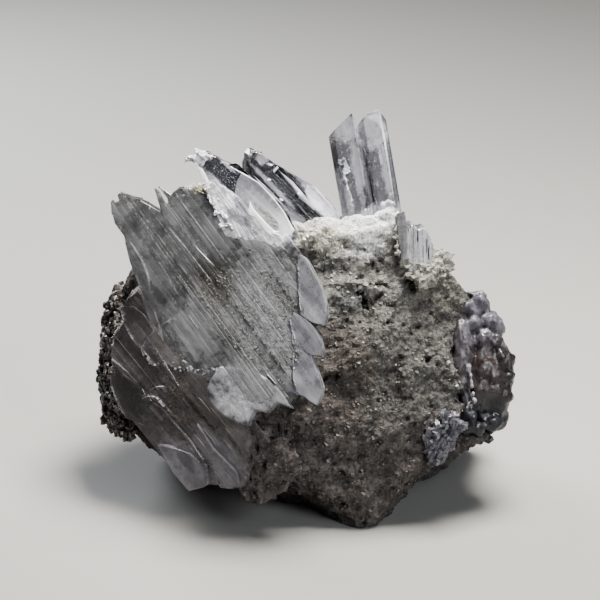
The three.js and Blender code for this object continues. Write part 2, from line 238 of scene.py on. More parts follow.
# %% [markdown]
# ## How a crystal is shaped here
# A real crystal is bounded by flat faces, because each face grows outwards at its own rate.
# So a crystal starts as a block, and `grown_face` cuts it along a plane, once for each face.
# A hair-thin bevel gives every edge the bright line that a real edge shows. Several strips that
# grew side by side are then joined into one closed mesh by a boolean, so that light crosses
# them as it crosses one crystal. Modelling them by hand from vertices would be slower, and
# would not keep the faces flat.

# %% Crystal helpers
# In millimetres: how much of an edge is worn off, and how close two places count as one.
EDGE_WEAR = 0.06
SAME_PLACE = 0.0005


def block(low, high):
    """A plain block between two corners."""
    bm = bmesh.new()
    bmesh.ops.create_cube(bm, size=1)
    low = Vector(low)
    high = Vector(high)
    bmesh.ops.scale(bm, vec=high - low, verts=bm.verts)
    bmesh.ops.translate(bm, vec=(low + high) / 2, verts=bm.verts)
    return bm


def grown_face(bm, point, looks):
    """Ends a crystal at a plane: what lies beyond it is cut off and the cut is closed."""
    parts = bm.verts[:] + bm.edges[:] + bm.faces[:]
    plane = Vector(looks).normalized()
    cut = bmesh.ops.bisect_plane(
        bm, geom=parts, dist=SAME_PLACE, plane_co=point, plane_no=plane, clear_outer=True
    )
    rim = [part for part in cut["geom_cut"] if isinstance(part, bmesh.types.BMEdge)]
    if rim:
        bmesh.ops.contextual_create(bm, geom=rim)


def worn_edges(bm, width=EDGE_WEAR, rounds=1):
    """Takes the edge off every corner of a crystal."""
    bmesh.ops.bevel(
        bm,
        geom=bm.edges[:],
        offset=width,
        offset_type="OFFSET",
        segments=rounds,
        profile=0.5,
        affect="EDGES",
        material=-1,
        clamp_overlap=True,
    )


def tablet(outline, front, back, wear=EDGE_WEAR, rounds=1):
    """A flat crystal: an outline of (x, z) points, from its front to its back."""
    bm = bmesh.new()
    face = bm.faces.new([bm.verts.new((x, front, z)) for x, z in outline])
    made = bmesh.ops.extrude_face_region(bm, geom=[face])
    far = [part for part in made["geom"] if isinstance(part, bmesh.types.BMVert)]
    bmesh.ops.translate(bm, vec=(0, back - front, 0), verts=far)
    bmesh.ops.recalc_face_normals(bm, faces=bm.faces)
    if wear:
        worn_edges(bm, wear, rounds)
    return bm


def lump(centre, radii, seed, rough=0.25, finer=2):
    """A rounded, uneven lump of sugary gypsum."""
    bm = bmesh.new()
    bmesh.ops.create_icosphere(bm, subdivisions=finer, radius=1)
    for vertex in bm.verts:
        spot = vertex.co * 1.6 + Vector((seed, 2 * seed, 3 * seed))
        grow = 1 + rough * noise.fractal(spot, 1.0, 2.0, 3)
        vertex.co = Vector(centre) + Vector([vertex.co[i] * grow * radii[i] for i in range(3)])
    return bm


def settle(piece):
    """Applies a piece's modifiers."""
    graph = bpy.context.evaluated_depsgraph_get()
    mesh = bpy.data.meshes.new_from_object(piece.evaluated_get(graph))
    piece.modifiers.clear()
    piece.data = mesh
    return mesh


def remeshed(piece, voxel):
    """Gives a piece an even, closed mesh of small squares."""
    voxels = piece.modifiers.new("voxels", "REMESH")
    voxels.mode = "VOXEL"
    voxels.voxel_size = voxel
    return settle(piece)


def united(shapes, hollows=()):
    """Joins overlapping crystals into one closed mesh in their own frame, less its hollows."""
    parts = [linked("crystal", mesh_of(bm)) for bm in [*shapes, *hollows]]
    whole = parts[0]
    for i, other in enumerate(parts[1:], start=1):
        join = whole.modifiers.new("join", "BOOLEAN")
        join.operation = "UNION" if i < len(shapes) else "DIFFERENCE"
        join.solver = "MANIFOLD"
        join.object = other
    mesh = settle(whole)
    for part in parts:
        bpy.data.objects.remove(part)
    return mesh


def assembled(name, shells):
    """One piece made of several closed shells, each with its place and its material."""
    bm = bmesh.new()
    materials = []
    for mesh, place, material in shells:
        if material not in materials:
            materials.append(material)
        mesh.transform(show_to_object @ place)
        mesh.polygons.foreach_set("material_index", [materials.index(material)] * len(mesh.polygons))
        bm.from_mesh(mesh)
    piece = linked(name, mesh_of(bm, name))
    for material in materials:
        piece.data.materials.append(material)
    print(name, len(piece.data.polygons), "faces in", len(shells), "shells")
    return piece


def hand_over(piece, node, lets_light_through=False):
    """Sets a piece on the body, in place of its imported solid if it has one."""
    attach(piece, "root")
    if node:
        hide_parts(node)
    piece.visible_shadow = not lets_light_through


# %% [markdown]
# ## Strips that grew side by side
# Selenite blades are bundles: many thin strips with one common direction, each a little
# longer, thicker or shorter than the next. That is where the steps and fine lines along a blade
# come from. A blade is given by the line of its heads and the line of its tips, and this
# function fills the room between them with strips of uneven width, each cut along the lines.
# A texture alone would draw the lines but leave the outline smooth.

# %% Strips
# How far a strip reaches into the next one, in millimetres.
OVERLAP = 0.06
# The steepest slope of a strip's ends, and how far its front and its tip may turn.
STEEPEST = 2.5
TWIST = 0.1
BLUNTNESS = 0.9


def on_line(line, at):
    """Reads a line of (place, value) points at a place between them."""
    places, values = zip(*line)
    return float(np.interp(at, places, values))


def slope(line, at, step=0.4):
    """How steeply a line of points climbs at a place."""
    climb = (on_line(line, at + step / 2) - on_line(line, at - step / 2)) / step
    return max(-STEEPEST, min(STEEPEST, climb))


def strips(heads, tips, fronts, seed, narrow=0.45, wide=1.4, step=0.16, ragged=0.35, thick=4.4):
    """Fills the room between a line of heads and a line of tips with strips side by side.

    Each line has (side, place) points across the blade. fronts is how far forward it lies,
    step how far the strips' fronts differ and ragged how far their ends do.
    """
    dice = random.Random(seed)
    side = heads[0][0]
    last = heads[-1][0]
    shapes = []
    while side < last - narrow / 2:
        width = min(dice.uniform(narrow, wide), last - side)
        middle = side + width / 2
        head = on_line(heads, middle) + dice.uniform(0, ragged)
        tip = on_line(tips, middle) - dice.uniform(0, ragged)
        front = dice.uniform(0, step) - on_line(fronts, middle)
        twist = dice.uniform(-TWIST, TWIST)
        bluntness = dice.uniform(-BLUNTNESS, BLUNTNESS)
        if tip - head > 2 * width:
            over = STEEPEST * width
            top = side + width + OVERLAP
            bm = block((head - over, front, side), (tip + over, front + thick, top))
            grown_face(bm, (head, front, middle), (-1, -0.3, slope(heads, middle)))
            grown_face(bm, (tip, front, middle), (1, -0.3, -slope(tips, middle)))
            grown_face(bm, (tip - 0.4 * width, front, middle), (1, -1.1, bluntness))
            grown_face(bm, (head, front, middle), (0, -1, twist))
            worn_edges(bm)
            shapes.append(bm)
        side += width
    return shapes


RIDGE_DEEP = 1.2
RIDGE_RUN_IN = 0.8
RIDGE_RUN_OUT = 1.2


def growth_ridges(area, fronts, seed, count, longest):
    """Hair-thin ridges along a crystal's front, in an area ((low, high) along, (low, high) across)."""
    dice = random.Random(seed)
    (low_x, high_x), (low_z, high_z) = area
    shapes = []
    for _ in range(count):
        x = dice.uniform(low_x, high_x)
        z = dice.uniform(low_z, high_z)
        long = dice.uniform(0.25, 1) * longest
        wide = dice.uniform(0.06, 0.18)
        front = -on_line(fronts, z) - dice.uniform(0.03, 0.12)
        bm = block((x, front, z), (x + long, front + RIDGE_DEEP, z + wide))
        grown_face(bm, (x + long - RIDGE_RUN_OUT, front, z), (0.3, -1, 0))
        grown_face(bm, (x + RIDGE_RUN_IN, front, z), (-0.3, -1, 0))
        shapes.append(bm)
    return shapes


def growth_gaps(area, fronts, seed, count, longest, deep=1.3):
    """Narrow dark gaps where neighbouring strips did not close, to be cut from a crystal."""
    dice = random.Random(seed)
    (low_x, high_x), (low_z, high_z) = area
    shapes = []
    for _ in range(count):
        x = dice.uniform(low_x, high_x)
        z = dice.uniform(low_z, high_z)
        long = dice.uniform(0.3, 1) * longest
        wide = dice.uniform(0.1, 0.24)
        front = -on_line(fronts, z)
        outline = [(x, z), (x + long, z), (x + 0.85 * long, z + wide), (x + 0.2 * long, z + wide)]
        shapes.append(tablet(outline, front - 1, front + dice.uniform(0.4, 1) * deep, wear=0))
    return shapes


VEIL_THICK = 0.05


def inner_veils(low, high, seed, count, long, along_x=True):
    """Closed cracks inside a crystal: thin empty plates that flash silver and black.

    low and high are the corners of the room they lie in.
    """
    dice = random.Random(seed)
    shapes = []
    for _ in range(count):
        centre = Vector([dice.uniform(low[i], high[i]) for i in range(3)])
        length = dice.uniform(0.3, 1) * long
        wide = dice.uniform(0.08, 0.22) * long
        size = (length, VEIL_THICK, wide) if along_x else (wide, VEIL_THICK, length)
        bm = block((-size[0] / 2, 0, -size[2] / 2), (size[0] / 2, size[1], size[2] / 2))
        grown_face(bm, (0.3 * size[0], 0, 0), (size[2], 0, dice.uniform(0.2, 1) * size[0]))
        grown_face(bm, (-0.3 * size[0], 0, 0), (-size[2], 0, dice.uniform(-1, 0.6) * size[0]))
        leans = [Matrix.Rotation(dice.uniform(-0.5, 0.5), 4, axis) for axis in "XZ"]
        bm.transform(Matrix.Translation(centre) @ leans[0] @ leans[1])
        shapes.append(bm)
    return shapes


# %% [markdown]
# ## Specks inside the crystals
# Tiny flat flakes of trapped fluid and healed cracks hang in the clear parts. They are real
# mesh, so they shift behind the face as one walks round the piece. One flake is shaped once and
# repeated in one joined mesh, and only those that lie inside the crystal are kept.

# %% Repeated small shapes


def joined_copies(shape, places):
    """One mesh that repeats a small shape once for each matrix in a list of places."""
    corners = np.array([v.co for v in shape.vertices])
    corners = np.c_[corners, np.ones(len(corners))]
    faces = [tuple(face.vertices) for face in shape.polygons]
    moved = [(corners @ np.array(place).T)[:, :3] for place in places]
    joined = [
        tuple(corner + i * len(corners) for corner in face)
        for i in range(len(places))
        for face in faces
    ]
    mesh = bpy.data.meshes.new("copies")
    mesh.from_pydata(np.concatenate(moved).tolist(), [], joined)
    shade = mesh.attributes.new("shade", "FLOAT", "POINT")
    dice = np.random.default_rng(len(places))
    shade.data.foreach_set("value", np.repeat(dice.random(len(places)), len(corners)))
    return mesh


def flake_shape():
    """A thin six-sided flake, one millimetre across."""
    bm = bmesh.new()
    bmesh.ops.create_cone(
        bm, cap_ends=True, cap_tris=False, segments=6, radius1=0.5, radius2=0.34, depth=0.12
    )
    bmesh.ops.rotate(bm, matrix=Matrix.Rotation(math.radians(90), 3, "X"), verts=bm.verts)
    return mesh_of(bm)


CLOUD_SPREAD = 0.45
FLAKE_LEAN = 0.35


def specks(host, clouds, seed, size=0.3):
    """Clouds of flakes inside a host crystal. A cloud is (centre, radii, count)."""
    dice = np.random.default_rng(seed)
    corners = [v.co for v in host.vertices]
    skin = BVHTree.FromPolygons(corners, [tuple(face.vertices) for face in host.polygons])
    places = []
    for centre, radii, count in clouds:
        for _ in range(count):
            away = dice.normal(size=3) * CLOUD_SPREAD
            spot = Vector(centre) + Vector(away * radii)
            spin = Matrix.Rotation(dice.uniform(0, math.tau), 4, "Y")
            tilt = Matrix.Rotation(dice.normal() * FLAKE_LEAN, 4, "X")
            grow = Matrix.Diagonal((*(size * dice.uniform(0.4, 1.5, 3)), 1))
            touch, outward, _, away_from_skin = skin.find_nearest(spot)
            if away_from_skin > size * 0.6 and (spot - touch).dot(outward) < 0:
                places.append(Matrix.Translation(spot) @ tilt @ spin @ grow)
    return joined_copies(flake_shape(), places)


# %% [markdown]
# ## Materials of the crystals
# Selenite is clear gypsum: a soft, glassy mineral whose light is bent less than by quartz. It
# is see-through by plain transmission, an index of refraction of 1.52 and a faint absorption.
# What varies over a face is how smooth it is. Fine lines run along the growth direction, and
# patches are etched dull. In its milky zones part of the light scatters before it gets through,
# so there the transmission is lower and the colour whiter.

# %% Selenite
SELENITE_IOR = 1.52
SELENITE_HAZE = "#95969c"
# Sizes of what shows on a crystal, in millimetres.
LINE_SPACING = 0.4
LINE_HEIGHT = 0.05
ETCH_PATCH = 3.5
PITTING = 0.5
PITTING_HEIGHT = 0.02
CRUMB = 1
CRUMB_HEIGHT = 0.32
CRUMB_DULL = 0.6
# How much darker the thinnest milk is than the thickest.
THIN_MILK = 0.55
# Draws the lines out along the direction in which a crystal grew.
ALONG_X = (0.04, 1, 1)
ALONG_Z = (1, 1, 0.04)


def on_seat(place, tree):
    """Coordinates in millimetres in a crystal's own frame."""
    back = (show_to_object @ place).inverted()
    here = add(tree, "TexCoord").outputs["Object"]
    return add(tree, "Mapping", {
        "Vector": here,
        "Location": back.translation,
        "Rotation": back.to_euler(),
        "Scale": back.to_scale(),
    }, vector_type="POINT").outputs[0]


def ragged_zones(tree, where, zones):
    """How much zones of a crystal hold: each is (centre, radii, strength), with a ragged rim."""
    wisps = add(tree, "TexNoise", {"Vector": where, "Scale": 0.55, "Detail": 5, "Roughness": 0.62})
    ragged = add(tree, "MapRange", {"Value": wisps.outputs[0], "To Min": -0.9, "To Max": 0.9})
    most = 0.0
    for centre, radii, strength in zones:
        unit = add(tree, "Mapping", {
            "Vector": where,
            "Location": [-middle / radius for middle, radius in zip(centre, radii)],
            "Scale": [1 / radius for radius in radii],
        }).outputs[0]
        away = add(tree, "VectorMath", {0: unit}, operation="LENGTH").outputs["Value"]
        rim = add(tree, "Math", {0: away, 1: ragged.outputs[0]}, operation="ADD").outputs[0]
        share = add(tree, "MapRange", {
            "Value": rim, "From Min": 1.15, "From Max": 0.6, "To Min": 0, "To Max": strength,
        }).outputs[0]
        most = add(tree, "Math", {0: most, 1: share}, operation="MAXIMUM").outputs[0]
    return most


def selenite(name, place, pale, dark, clear, smooth, dull, density=0, growth=ALONG_X, lined=0.7,
             zones=(), milk_colour="#eeeff3", least_clear=0.2, crumbly=(), stains=(),
             stain_colour="#3a372f"):
    """Gypsum crystal. clear is its transmission, and density how much light it takes up.

    Each zone is an ellipsoid: zones are milky, crumbly ones sugary and stains dark.
    """
    material, tree = new_material(name)
    where = on_seat(place, tree)
    spread = add(tree, "Mapping", {"Vector": where, "Scale": growth}).outputs[0]
    lines = add(tree, "TexNoise", {
        "Vector": spread, "Scale": 1 / LINE_SPACING, "Detail": 3, "Roughness": 0.6,
    }).outputs[0]
    patches = add(tree, "TexNoise", {
        "Vector": spread, "Scale": 2 / ETCH_PATCH, "Detail": 5, "Roughness": 0.6,
    }).outputs[0]
    blots = add(tree, "TexNoise", {
        "Vector": where, "Scale": 1 / ETCH_PATCH, "Detail": 6, "Roughness": 0.65,
    }).outputs[0]
    uneven = add(tree, "Math", {0: patches, 1: blots}, operation="ADD").outputs[0]
    etched = add(tree, "MapRange", {
        "Value": uneven, "From Min": 0.9, "From Max": 1.2, "To Min": smooth, "To Max": dull,
    }).outputs[0]
    fade = add(tree, "MapRange", {"Value": uneven, "From Min": 0.78, "From Max": 1.22}).outputs[0]
    tone = add(tree, "Mix", {0: fade, 6: linear(dark), 7: linear(pale)}, data_type="RGBA").outputs[2]
    relief = add(tree, "Bump", {
        "Height": lines, "Distance": LINE_HEIGHT * MM, "Strength": lined,
    }).outputs[0]
    grit = add(tree, "TexNoise", {"Vector": where, "Scale": 1 / PITTING, "Detail": 3}).outputs[0]
    relief = add(tree, "Bump", {
        "Height": grit, "Distance": PITTING_HEIGHT * MM, "Strength": 0.4, "Normal": relief,
    }).outputs[0]
    through = clear
    if zones:
        milk = ragged_zones(tree, where, zones)
        cloud = add(tree, "Mix", {
            0: fade, 6: dimmed(milk_colour, THIN_MILK), 7: linear(milk_colour),
        }, data_type="RGBA").outputs[2]
        tone = add(tree, "Mix", {0: milk, 6: tone, 7: cloud}, data_type="RGBA").outputs[2]
        etched = add(tree, "Mix", {0: milk, 2: etched, 3: dull}, data_type="FLOAT").outputs[0]
        through = add(tree, "MapRange", {
            "Value": milk, "To Min": clear, "To Max": least_clear,
        }).outputs[0]
    if stains:
        dirt = ragged_zones(tree, where, stains)
        tone = add(tree, "Mix", {
            0: dirt, 6: tone, 7: linear(stain_colour),
        }, data_type="RGBA").outputs[2]
    if crumbly:
        share = ragged_zones(tree, where, crumbly)
        crumbs = add(tree, "TexNoise", {
            "Vector": where, "Scale": 1 / CRUMB, "Detail": 7, "Roughness": 0.72,
        }).outputs[0]
        dots = add(tree, "MapRange", {
            "Value": crumbs, "From Min": 0.36, "From Max": 0.66, "To Min": 0.5, "To Max": 1.3,
        }).outputs[0]
        spotted = add(tree, "Mix", {
            0: 1.0, 6: tone, 7: dots,
        }, data_type="RGBA", blend_type="MULTIPLY").outputs[2]
        tone = add(tree, "Mix", {0: share, 6: tone, 7: spotted}, data_type="RGBA").outputs[2]
        relief = add(tree, "Bump", {
            "Height": crumbs, "Distance": CRUMB_HEIGHT * MM, "Strength": share, "Normal": relief,
        }).outputs[0]
        etched = add(tree, "Mix", {0: share, 2: etched, 3: CRUMB_DULL}, data_type="FLOAT").outputs[0]
        dimmer = add(tree, "MapRange", {"Value": share, "To Min": 1, "To Max": 0.3}).outputs[0]
        through = add(tree, "Math", {0: through, 1: dimmer}, operation="MULTIPLY").outputs[0]
    surface = add(tree, "BsdfPrincipled", {
        "Base Color": tone,
        "Roughness": etched,
        "Normal": relief,
        "IOR": SELENITE_IOR,
        "Transmission Weight": through,
    })
    shown = {"Surface": surface.outputs[0]}
    if density:
        haze = add(tree, "VolumeAbsorption", {"Color": linear(SELENITE_HAZE), "Density": density})
        shown["Volume"] = haze.outputs[0]
    add(tree, "OutputMaterial", shown)
    return material


FLUID_IOR = 1.33
FAINTEST_SPECK = 0.6


def speck_material(name, code, clear):
    """Healed cracks, trapped fluid or fine sugar: small flakes and grains, each in its own shade."""
    material, tree = new_material(name)
    shade = add(tree, "Attribute", attribute_name="shade").outputs["Fac"]
    faint = dimmed(code, FAINTEST_SPECK)
    tone = add(tree, "Mix", {0: shade, 6: faint, 7: linear(code)}, data_type="RGBA").outputs[2]
    surface = add(tree, "BsdfPrincipled", {
        "Base Color": tone,
        "Roughness": 0.5,
        "Transmission Weight": clear,
        "IOR": FLUID_IOR,
    })
    add(tree, "OutputMaterial", {"Surface": surface.outputs[0]})
    return material


white_specks = speck_material("white specks of trapped fluid", "#f2f3f6", 0.2)
grey_specks = speck_material("grey specks of trapped fluid", "#c2c3ca", 0.3)

# %% Sugary lumps
UNEVEN_DEPTH = 0.1
GRIT_SIZE = 1.1


def scattered(outline, y, count, radius, seed):
    """Places for small lumps spread at random inside an outline of (x, z) points."""
    dice = random.Random(seed)
    across, up = zip(*outline)
    places = []
    while len(places) < count:
        x = dice.uniform(min(across), max(across))
        z = dice.uniform(min(up), max(up))
        inside = False
        for (x0, z0), (x1, z1) in zip(outline, [*outline[1:], outline[0]]):
            if (z0 > z) != (z1 > z) and x < (x1 - x0) * (z - z0) / (z1 - z0) + x0:
                inside = not inside
        if inside:
            deep = y + dice.uniform(-UNEVEN_DEPTH, UNEVEN_DEPTH)
            places.append((x, deep, z, radius * dice.uniform(0.6, 1.2)))
    return places


def sugar_lumps(places, seed, voxel=0.22, rough=0.3):
    """A rough mass of sugary gypsum from lumps at (x, y, z, radius), in a crystal's frame."""
    mass = linked("mass", united([
        lump((x, y, z), (radius, radius, radius), seed + i, rough=0.3)
        for i, (x, y, z, radius) in enumerate(places)
    ]))
    mesh = remeshed(mass, voxel)
    normals = [vertex.normal.copy() for vertex in mesh.vertices]
    for vertex, normal in zip(mesh.vertices, normals):
        grit = noise.turbulence(vertex.co / GRIT_SIZE, 3, False) - 0.5
        vertex.co += normal * rough * grit
    bpy.data.objects.remove(mass)
    return mesh


SUGAR_GRAIN = 0.5
SUGAR_HEIGHT = 0.3


def fine_sugar(name, dark="#a9aab2", pale="#ffffff"):
    """Sugary gypsum in fine, matt grains from a dark to a pale tone. It is snow-white if pure."""
    material, tree = new_material(name)
    here = add(tree, "TexCoord").outputs["Object"]
    fine = add(tree, "TexNoise", {
        "Vector": here, "Scale": 1 / (SUGAR_GRAIN * MM), "Detail": 5,
    }).outputs[0]
    tone = add(tree, "Mix", {
        0: fine, 6: linear(dark), 7: linear(pale),
    }, data_type="RGBA").outputs[2]
    relief = add(tree, "Bump", {
        "Height": fine, "Distance": SUGAR_HEIGHT * MM, "Strength": 0.9,
    }).outputs[0]
    surface = add(tree, "BsdfPrincipled", {
        "Base Color": tone,
        "Roughness": 0.5,
        "Normal": relief,
        "IOR": SELENITE_IOR,
    })
    add(tree, "OutputMaterial", {"Surface": surface.outputs[0]})
    return material


snow = fine_sugar("snow-white sugary gypsum")

# %% [markdown]
# ## The twin prisms
# Two tall crystals stand side by side, grown together along one flank. Each is a flattened
# prism: a broad front and back, two narrow slanted flanks on each side, and a roof of slanted
# faces. They are clear, with white veils, and the steps between their strips run upright.

# %% Twin prisms
PRISM_HALF = 2.6
PRISM_FOOT = -8
PRISM_TOP = 27.2
LEFT_FORWARD = 0.9


def prism(low_x, high_x, shift, roof, flank):
    """A flattened prism. Its roof faces are (x, z, slope), and its flanks meet in an edge."""
    bm = block((low_x, -PRISM_HALF - shift, PRISM_FOOT), (high_x, PRISM_HALF - shift, PRISM_TOP))
    for x, z, lean in roof:
        grown_face(bm, (x, -PRISM_HALF - shift, z), (lean, 0.3, 1))
    for side, sign in ((low_x, -1), (high_x, 1)):
        for depth in (-1, 1):
            corner = (side - sign * flank, depth * PRISM_HALF - shift, 0)
            grown_face(bm, corner, (sign * PRISM_HALF, depth * flank * 1.15, 0))
    worn_edges(bm, 0.1)
    return bm


left_roof = [(-6, 23.8, -0.68), (-0.1, 25.1, 3.2)]
right_roof = [(0, 24.6, -0.79), (4.2, 26.8, -0.15), (6.1, 25.3, 1.5)]
left_prism = prism(-6.15, 0.3, shift=LEFT_FORWARD, roof=left_roof, flank=1.1)
right_prism = prism(-0.1, 6.4, shift=0, roof=right_roof, flank=1.5)
# Strips that stand a little proud of the fronts: place, width, top and rise.
PROUD_STRIPS = [
    (0.5, 0.4, 14, 0.12), (1.3, 0.3, 12, 0.18), (2, 0.25, 9, 0.1),
    (-4.9, 0.4, 15, 1.05), (-3.7, 0.25, 12, 1.0), (4, 0.3, 8, 0.08),
]
growth_lines = [
    tablet(
        [(x, PRISM_FOOT), (x + wide, PRISM_FOOT), (x + wide, top), (x, top - 0.8)],
        -PRISM_HALF - rise, 0,
    )
    for x, wide, top, rise in PROUD_STRIPS
]
prism_clear = selenite(
    "clear selenite of the twin prisms", PRISMS, growth=ALONG_Z, lined=0.35,
    pale="#f2f2f6", dark="#cfd0d8", clear=1.0, smooth=0.02, dull=0.22, density=330,
    milk_colour="#c4c5cb", least_clear=0.25,
    zones=[
        ((-2.6, -1, 24.6), (3.8, 6, 3), 0.9),
        ((4.4, 0, 26.6), (2, 6, 1.6), 1),
        ((-1.6, -1, 16), (1.2, 6, 8), 0.75),
        ((3, 0, 23), (3, 6, 4.6), 0.9),
        ((4.3, 0, 14), (1, 6, 7), 0.75),
        ((0, 0, 5), (8, 6, 2.4), 0.8),
        ((-4.4, -1, 9), (0.9, 6, 4), 0.4),
    ],
)
veil_white = selenite(
    "white veils of trapped fluid", PRISMS, growth=ALONG_Z, lined=0.5,
    pale="#e8e9ed", dark="#9a9ba3", clear=0.3, smooth=0.3, dull=0.6,
)
# A white patch and the pale band below it, just under the front of the left prism.
LEFT_PATCH = [
    (-5.2, 18.6), (-4, 18.6), (-3.3, 17.6), (-2.9, 15.8), (-3.3, 15), (-4.1, 15), (-4, 12.7),
    (-3.6, 9.1), (-3.7, 7.4), (-4.1, 7.4), (-4.3, 10.2), (-4.6, 14), (-5, 15.5),
]
# Sugary bits at the foot of the right prism: place and radius.
FOOT_BITS = [
    (-1.4, -2.6, 6.6, 0.6), (2.6, -1.6, 7, 0.8), (3.8, -1.6, 7.6, 0.6), (4.6, -1.6, 8.8, 0.5),
    (4.4, -1.6, 6.8, 0.7),
]
# The bright veil under the tip and the right edge of the right prism.
EDGE_VEIL = [
    (2.3, 25.8), (3.4, 26.2), (4.5, 26.2), (5.2, 25.2), (5.4, 24), (5.25, 16), (5.1, 9), (4.95, 9),
    (5, 16), (4.9, 22.4), (4.5, 24), (3.7, 24.7), (3, 25),
]
edge_veil = mesh_of(tablet(EDGE_VEIL, -2.5, -2.35, wear=0))
prism_body = united(
    [left_prism, right_prism, *growth_lines],
    hollows=[
        *inner_veils((-5, -1.8, 3), (-1.4, 1, 20), seed=5, count=9, long=5, along_x=False),
        *inner_veils((1.2, -1.2, 3), (4.6, 1.4, 21), seed=6, count=9, long=5, along_x=False),
    ],
)
patch_spots = scattered(LEFT_PATCH, y=-3.05, count=110, radius=0.27, seed=95)
prism_veil = sugar_lumps(patch_spots, seed=95, voxel=0.14)
prism_bits = sugar_lumps(FOOT_BITS, seed=96, rough=0.5)
prism_specks = specks(prism_body, [
    ((-3.2, -0.6, 22.6), (3, 2, 3), 160),
    ((-1.9, -0.4, 14), (2, 2, 9), 120),
    ((3.4, 0.4, 18), (3, 2, 9), 200),
], seed=1, size=0.16)
twin_prisms = assembled("twin_selenite_prisms", [
    (prism_body, PRISMS, prism_clear),
    (prism_specks, PRISMS, white_specks),
    (prism_veil, PRISMS, veil_white),
    (prism_bits, PRISMS, snow),
    (edge_veil, PRISMS, veil_white),
])
hand_over(twin_prisms, "twin_prisms", lets_light_through=True)

# %% [markdown]
# ## The front plate
# The broad plate at the upper left is a parallel growth of flat blades. Its head stands free of
# the rock and is clear. Its middle lies on the rock, whose grains show through it. Its lower
# right end is frosted, and the blades end there in a saw-tooth edge of curved tips.

# %% Front plate
plate_heads = [
    (-13.1, 0), (-11.3, -8), (-9, -17), (-7.4, -22), (-6.5, -27.6), (-5.4, -29.3), (-3.4, -28.9),
    (-3.1, -30), (-2.4, -30), (-1.2, -28), (0, -26.6), (1.9, -22.2), (3.2, -21.6), (5.6, -23.2),
    (8.2, -23), (11, -20.6), (13.1, -16), (16, -6), (20, 0),
]
plate_tips = [
    (-13.1, 7.6), (-12.4, 8.6), (-10.7, 11), (-9.6, 11.8), (-7.6, 12.2), (-7, 14), (-6.5, 21),
    (-4.8, 24), (-1.8, 24), (0, 26), (2.2, 25.4), (4.2, 22.4), (6, 20.4), (8.2, 18), (8.6, 20),
    (12.6, 20), (13, 16), (16, 15), (20, 5),
]
plate_fronts = [
    (-13.1, 0.1), (-6.6, 0.5), (-6.4, 1), (-1.2, 1), (-1, 0.4), (3, 0.4), (3.2, 0.8),
    (8.5, 0.7), (8.7, 0.2), (13, 0.1), (13.2, 0.5), (20, 0.3),
]
# Single blades that stand out of the plate: outline, front and back.
plate_blades = [
    ([(-26.3, 4), (-25.9, 4.4), (-20, 3.7), (-20, 1.8)], -0.7, 0.8),
    ([(-26.3, 4.8), (-25.8, 5.2), (-22.5, 6.2), (-19, 6.8), (-19, 5), (-23, 4.9)], -0.4, 1),
    ([(-21, -7.4), (-20, -6.5), (-15.4, -6.8), (-11.5, -8), (-7.8, -10.5), (-7.9, -11.3),
      (-12.8, -10.3), (-17.1, -9)], -1.5, 0.6),
    ([(-12, -10), (-8, -10.4), (-3, -11.8), (0.5, -13.3), (-4, -13.2), (-9, -11.8)], -1, 1),
    ([(-18, 1.6), (-13, 2), (-3, 2.2), (-2.6, 2), (-12, 1.7)], -0.75, 1),
    ([(-12, 3.7), (-9, 4.1), (-5.4, 4.6), (-5.6, 4.3), (-9, 3.8)], -1.1, 1),
    ([(2, -3.6), (8, -3), (17, -3.4), (17, -4), (8, -3.8)], -0.9, 1),
]
# Gaps between the blades: outline, front and back.
plate_gaps = [
    ([(-6.2, -2.9), (-2.3, -3.2), (-2.6, -2.8), (-5.6, -2.6)], -2, 1.4),
    ([(-13.5, -4.4), (-6.4, -4.9), (-6.8, -4.6), (-12.8, -4.1)], -2, 1.4),
    ([(-7.3, -0.9), (-0.9, -1.2), (-1.2, -0.9), (-6.7, -0.7)], -2, 1.4),
    ([(-24.8, 4.5), (-20.6, 4.2), (-20.6, 4.6), (-24.6, 4.9)], -2, 1.4),
]
# The three curved tips of the saw-tooth edge: outline, a place on the outer edge, and the lean.
TEETH = [
    ([(3.8, 20), (4.7, 20.5), (6.4, 20.5), (8.7, 20.1), (10.5, 19.9), (12.2, 19.4), (14, 18.8),
      (15.4, 18.2), (17, 17.1), (18, 16.1), (18.5, 15.3), (17.5, 14.4), (16.7, 13.8), (15, 13.1),
      (13.6, 12.7), (11.6, 13.5), (9.4, 15), (7.6, 16.4), (5.6, 18)], (17, 17.1), (-0.04, -0.12)),
    ([(12.6, 12), (15.1, 13), (17.3, 13.4), (19.6, 13.3), (21.1, 12.8), (22.2, 12.2), (23.1, 11.2),
      (22.3, 10.3), (21.6, 9.6), (19.7, 8.9), (17.1, 8.7), (14.4, 9)], (21, 12.8), (-0.02, -0.14)),
    ([(15.6, 8.6), (18, 9), (20, 9.4), (22, 9.5), (24.2, 8.9), (26.8, 8.2), (28.6, 7.5), (29.6, 6.5),
      (30.1, 5.5), (30.6, 4.3), (29.4, 3.8), (27.8, 3.4), (26.5, 2.6), (25.5, 1.7), (22.9, 3),
      (20.7, 4.6), (18.9, 6.4)], (28.6, 7.5), (0.05, -0.06)),
]
# The cloudy patch below them, and the pale sugary rim along the plate's lower edge.
CLOUDY_PATCH = [
    (12, -6.9), (12.9, -9.8), (14.1, -12), (16.6, -12.9), (18.8, -12.7), (20.9, -12.1), (23.4, -10.8),
    (25.4, -9.4), (24.7, -8.5), (23.7, -6.5), (25.6, -4.8), (25.3, -1.8), (28.2, 0), (23.5, 0.2),
    (20.4, -0.3), (16, -2.4),
]
PALE_RIM = [
    (6, -13), (8.6, -12.8), (10.8, -11), (12.4, -8), (12, -6.8), (11.2, -9), (9, -11.2), (6.4, -12),
]
# Bright ridges along the teeth: the ends of each.
TOOTH_RIDGES = [
    ((9.4, 15.6), (13.2, 13.4)), ((15.6, 9.6), (17.4, 8.8)), ((19.4, 0.1), (22, 0.3)),
]
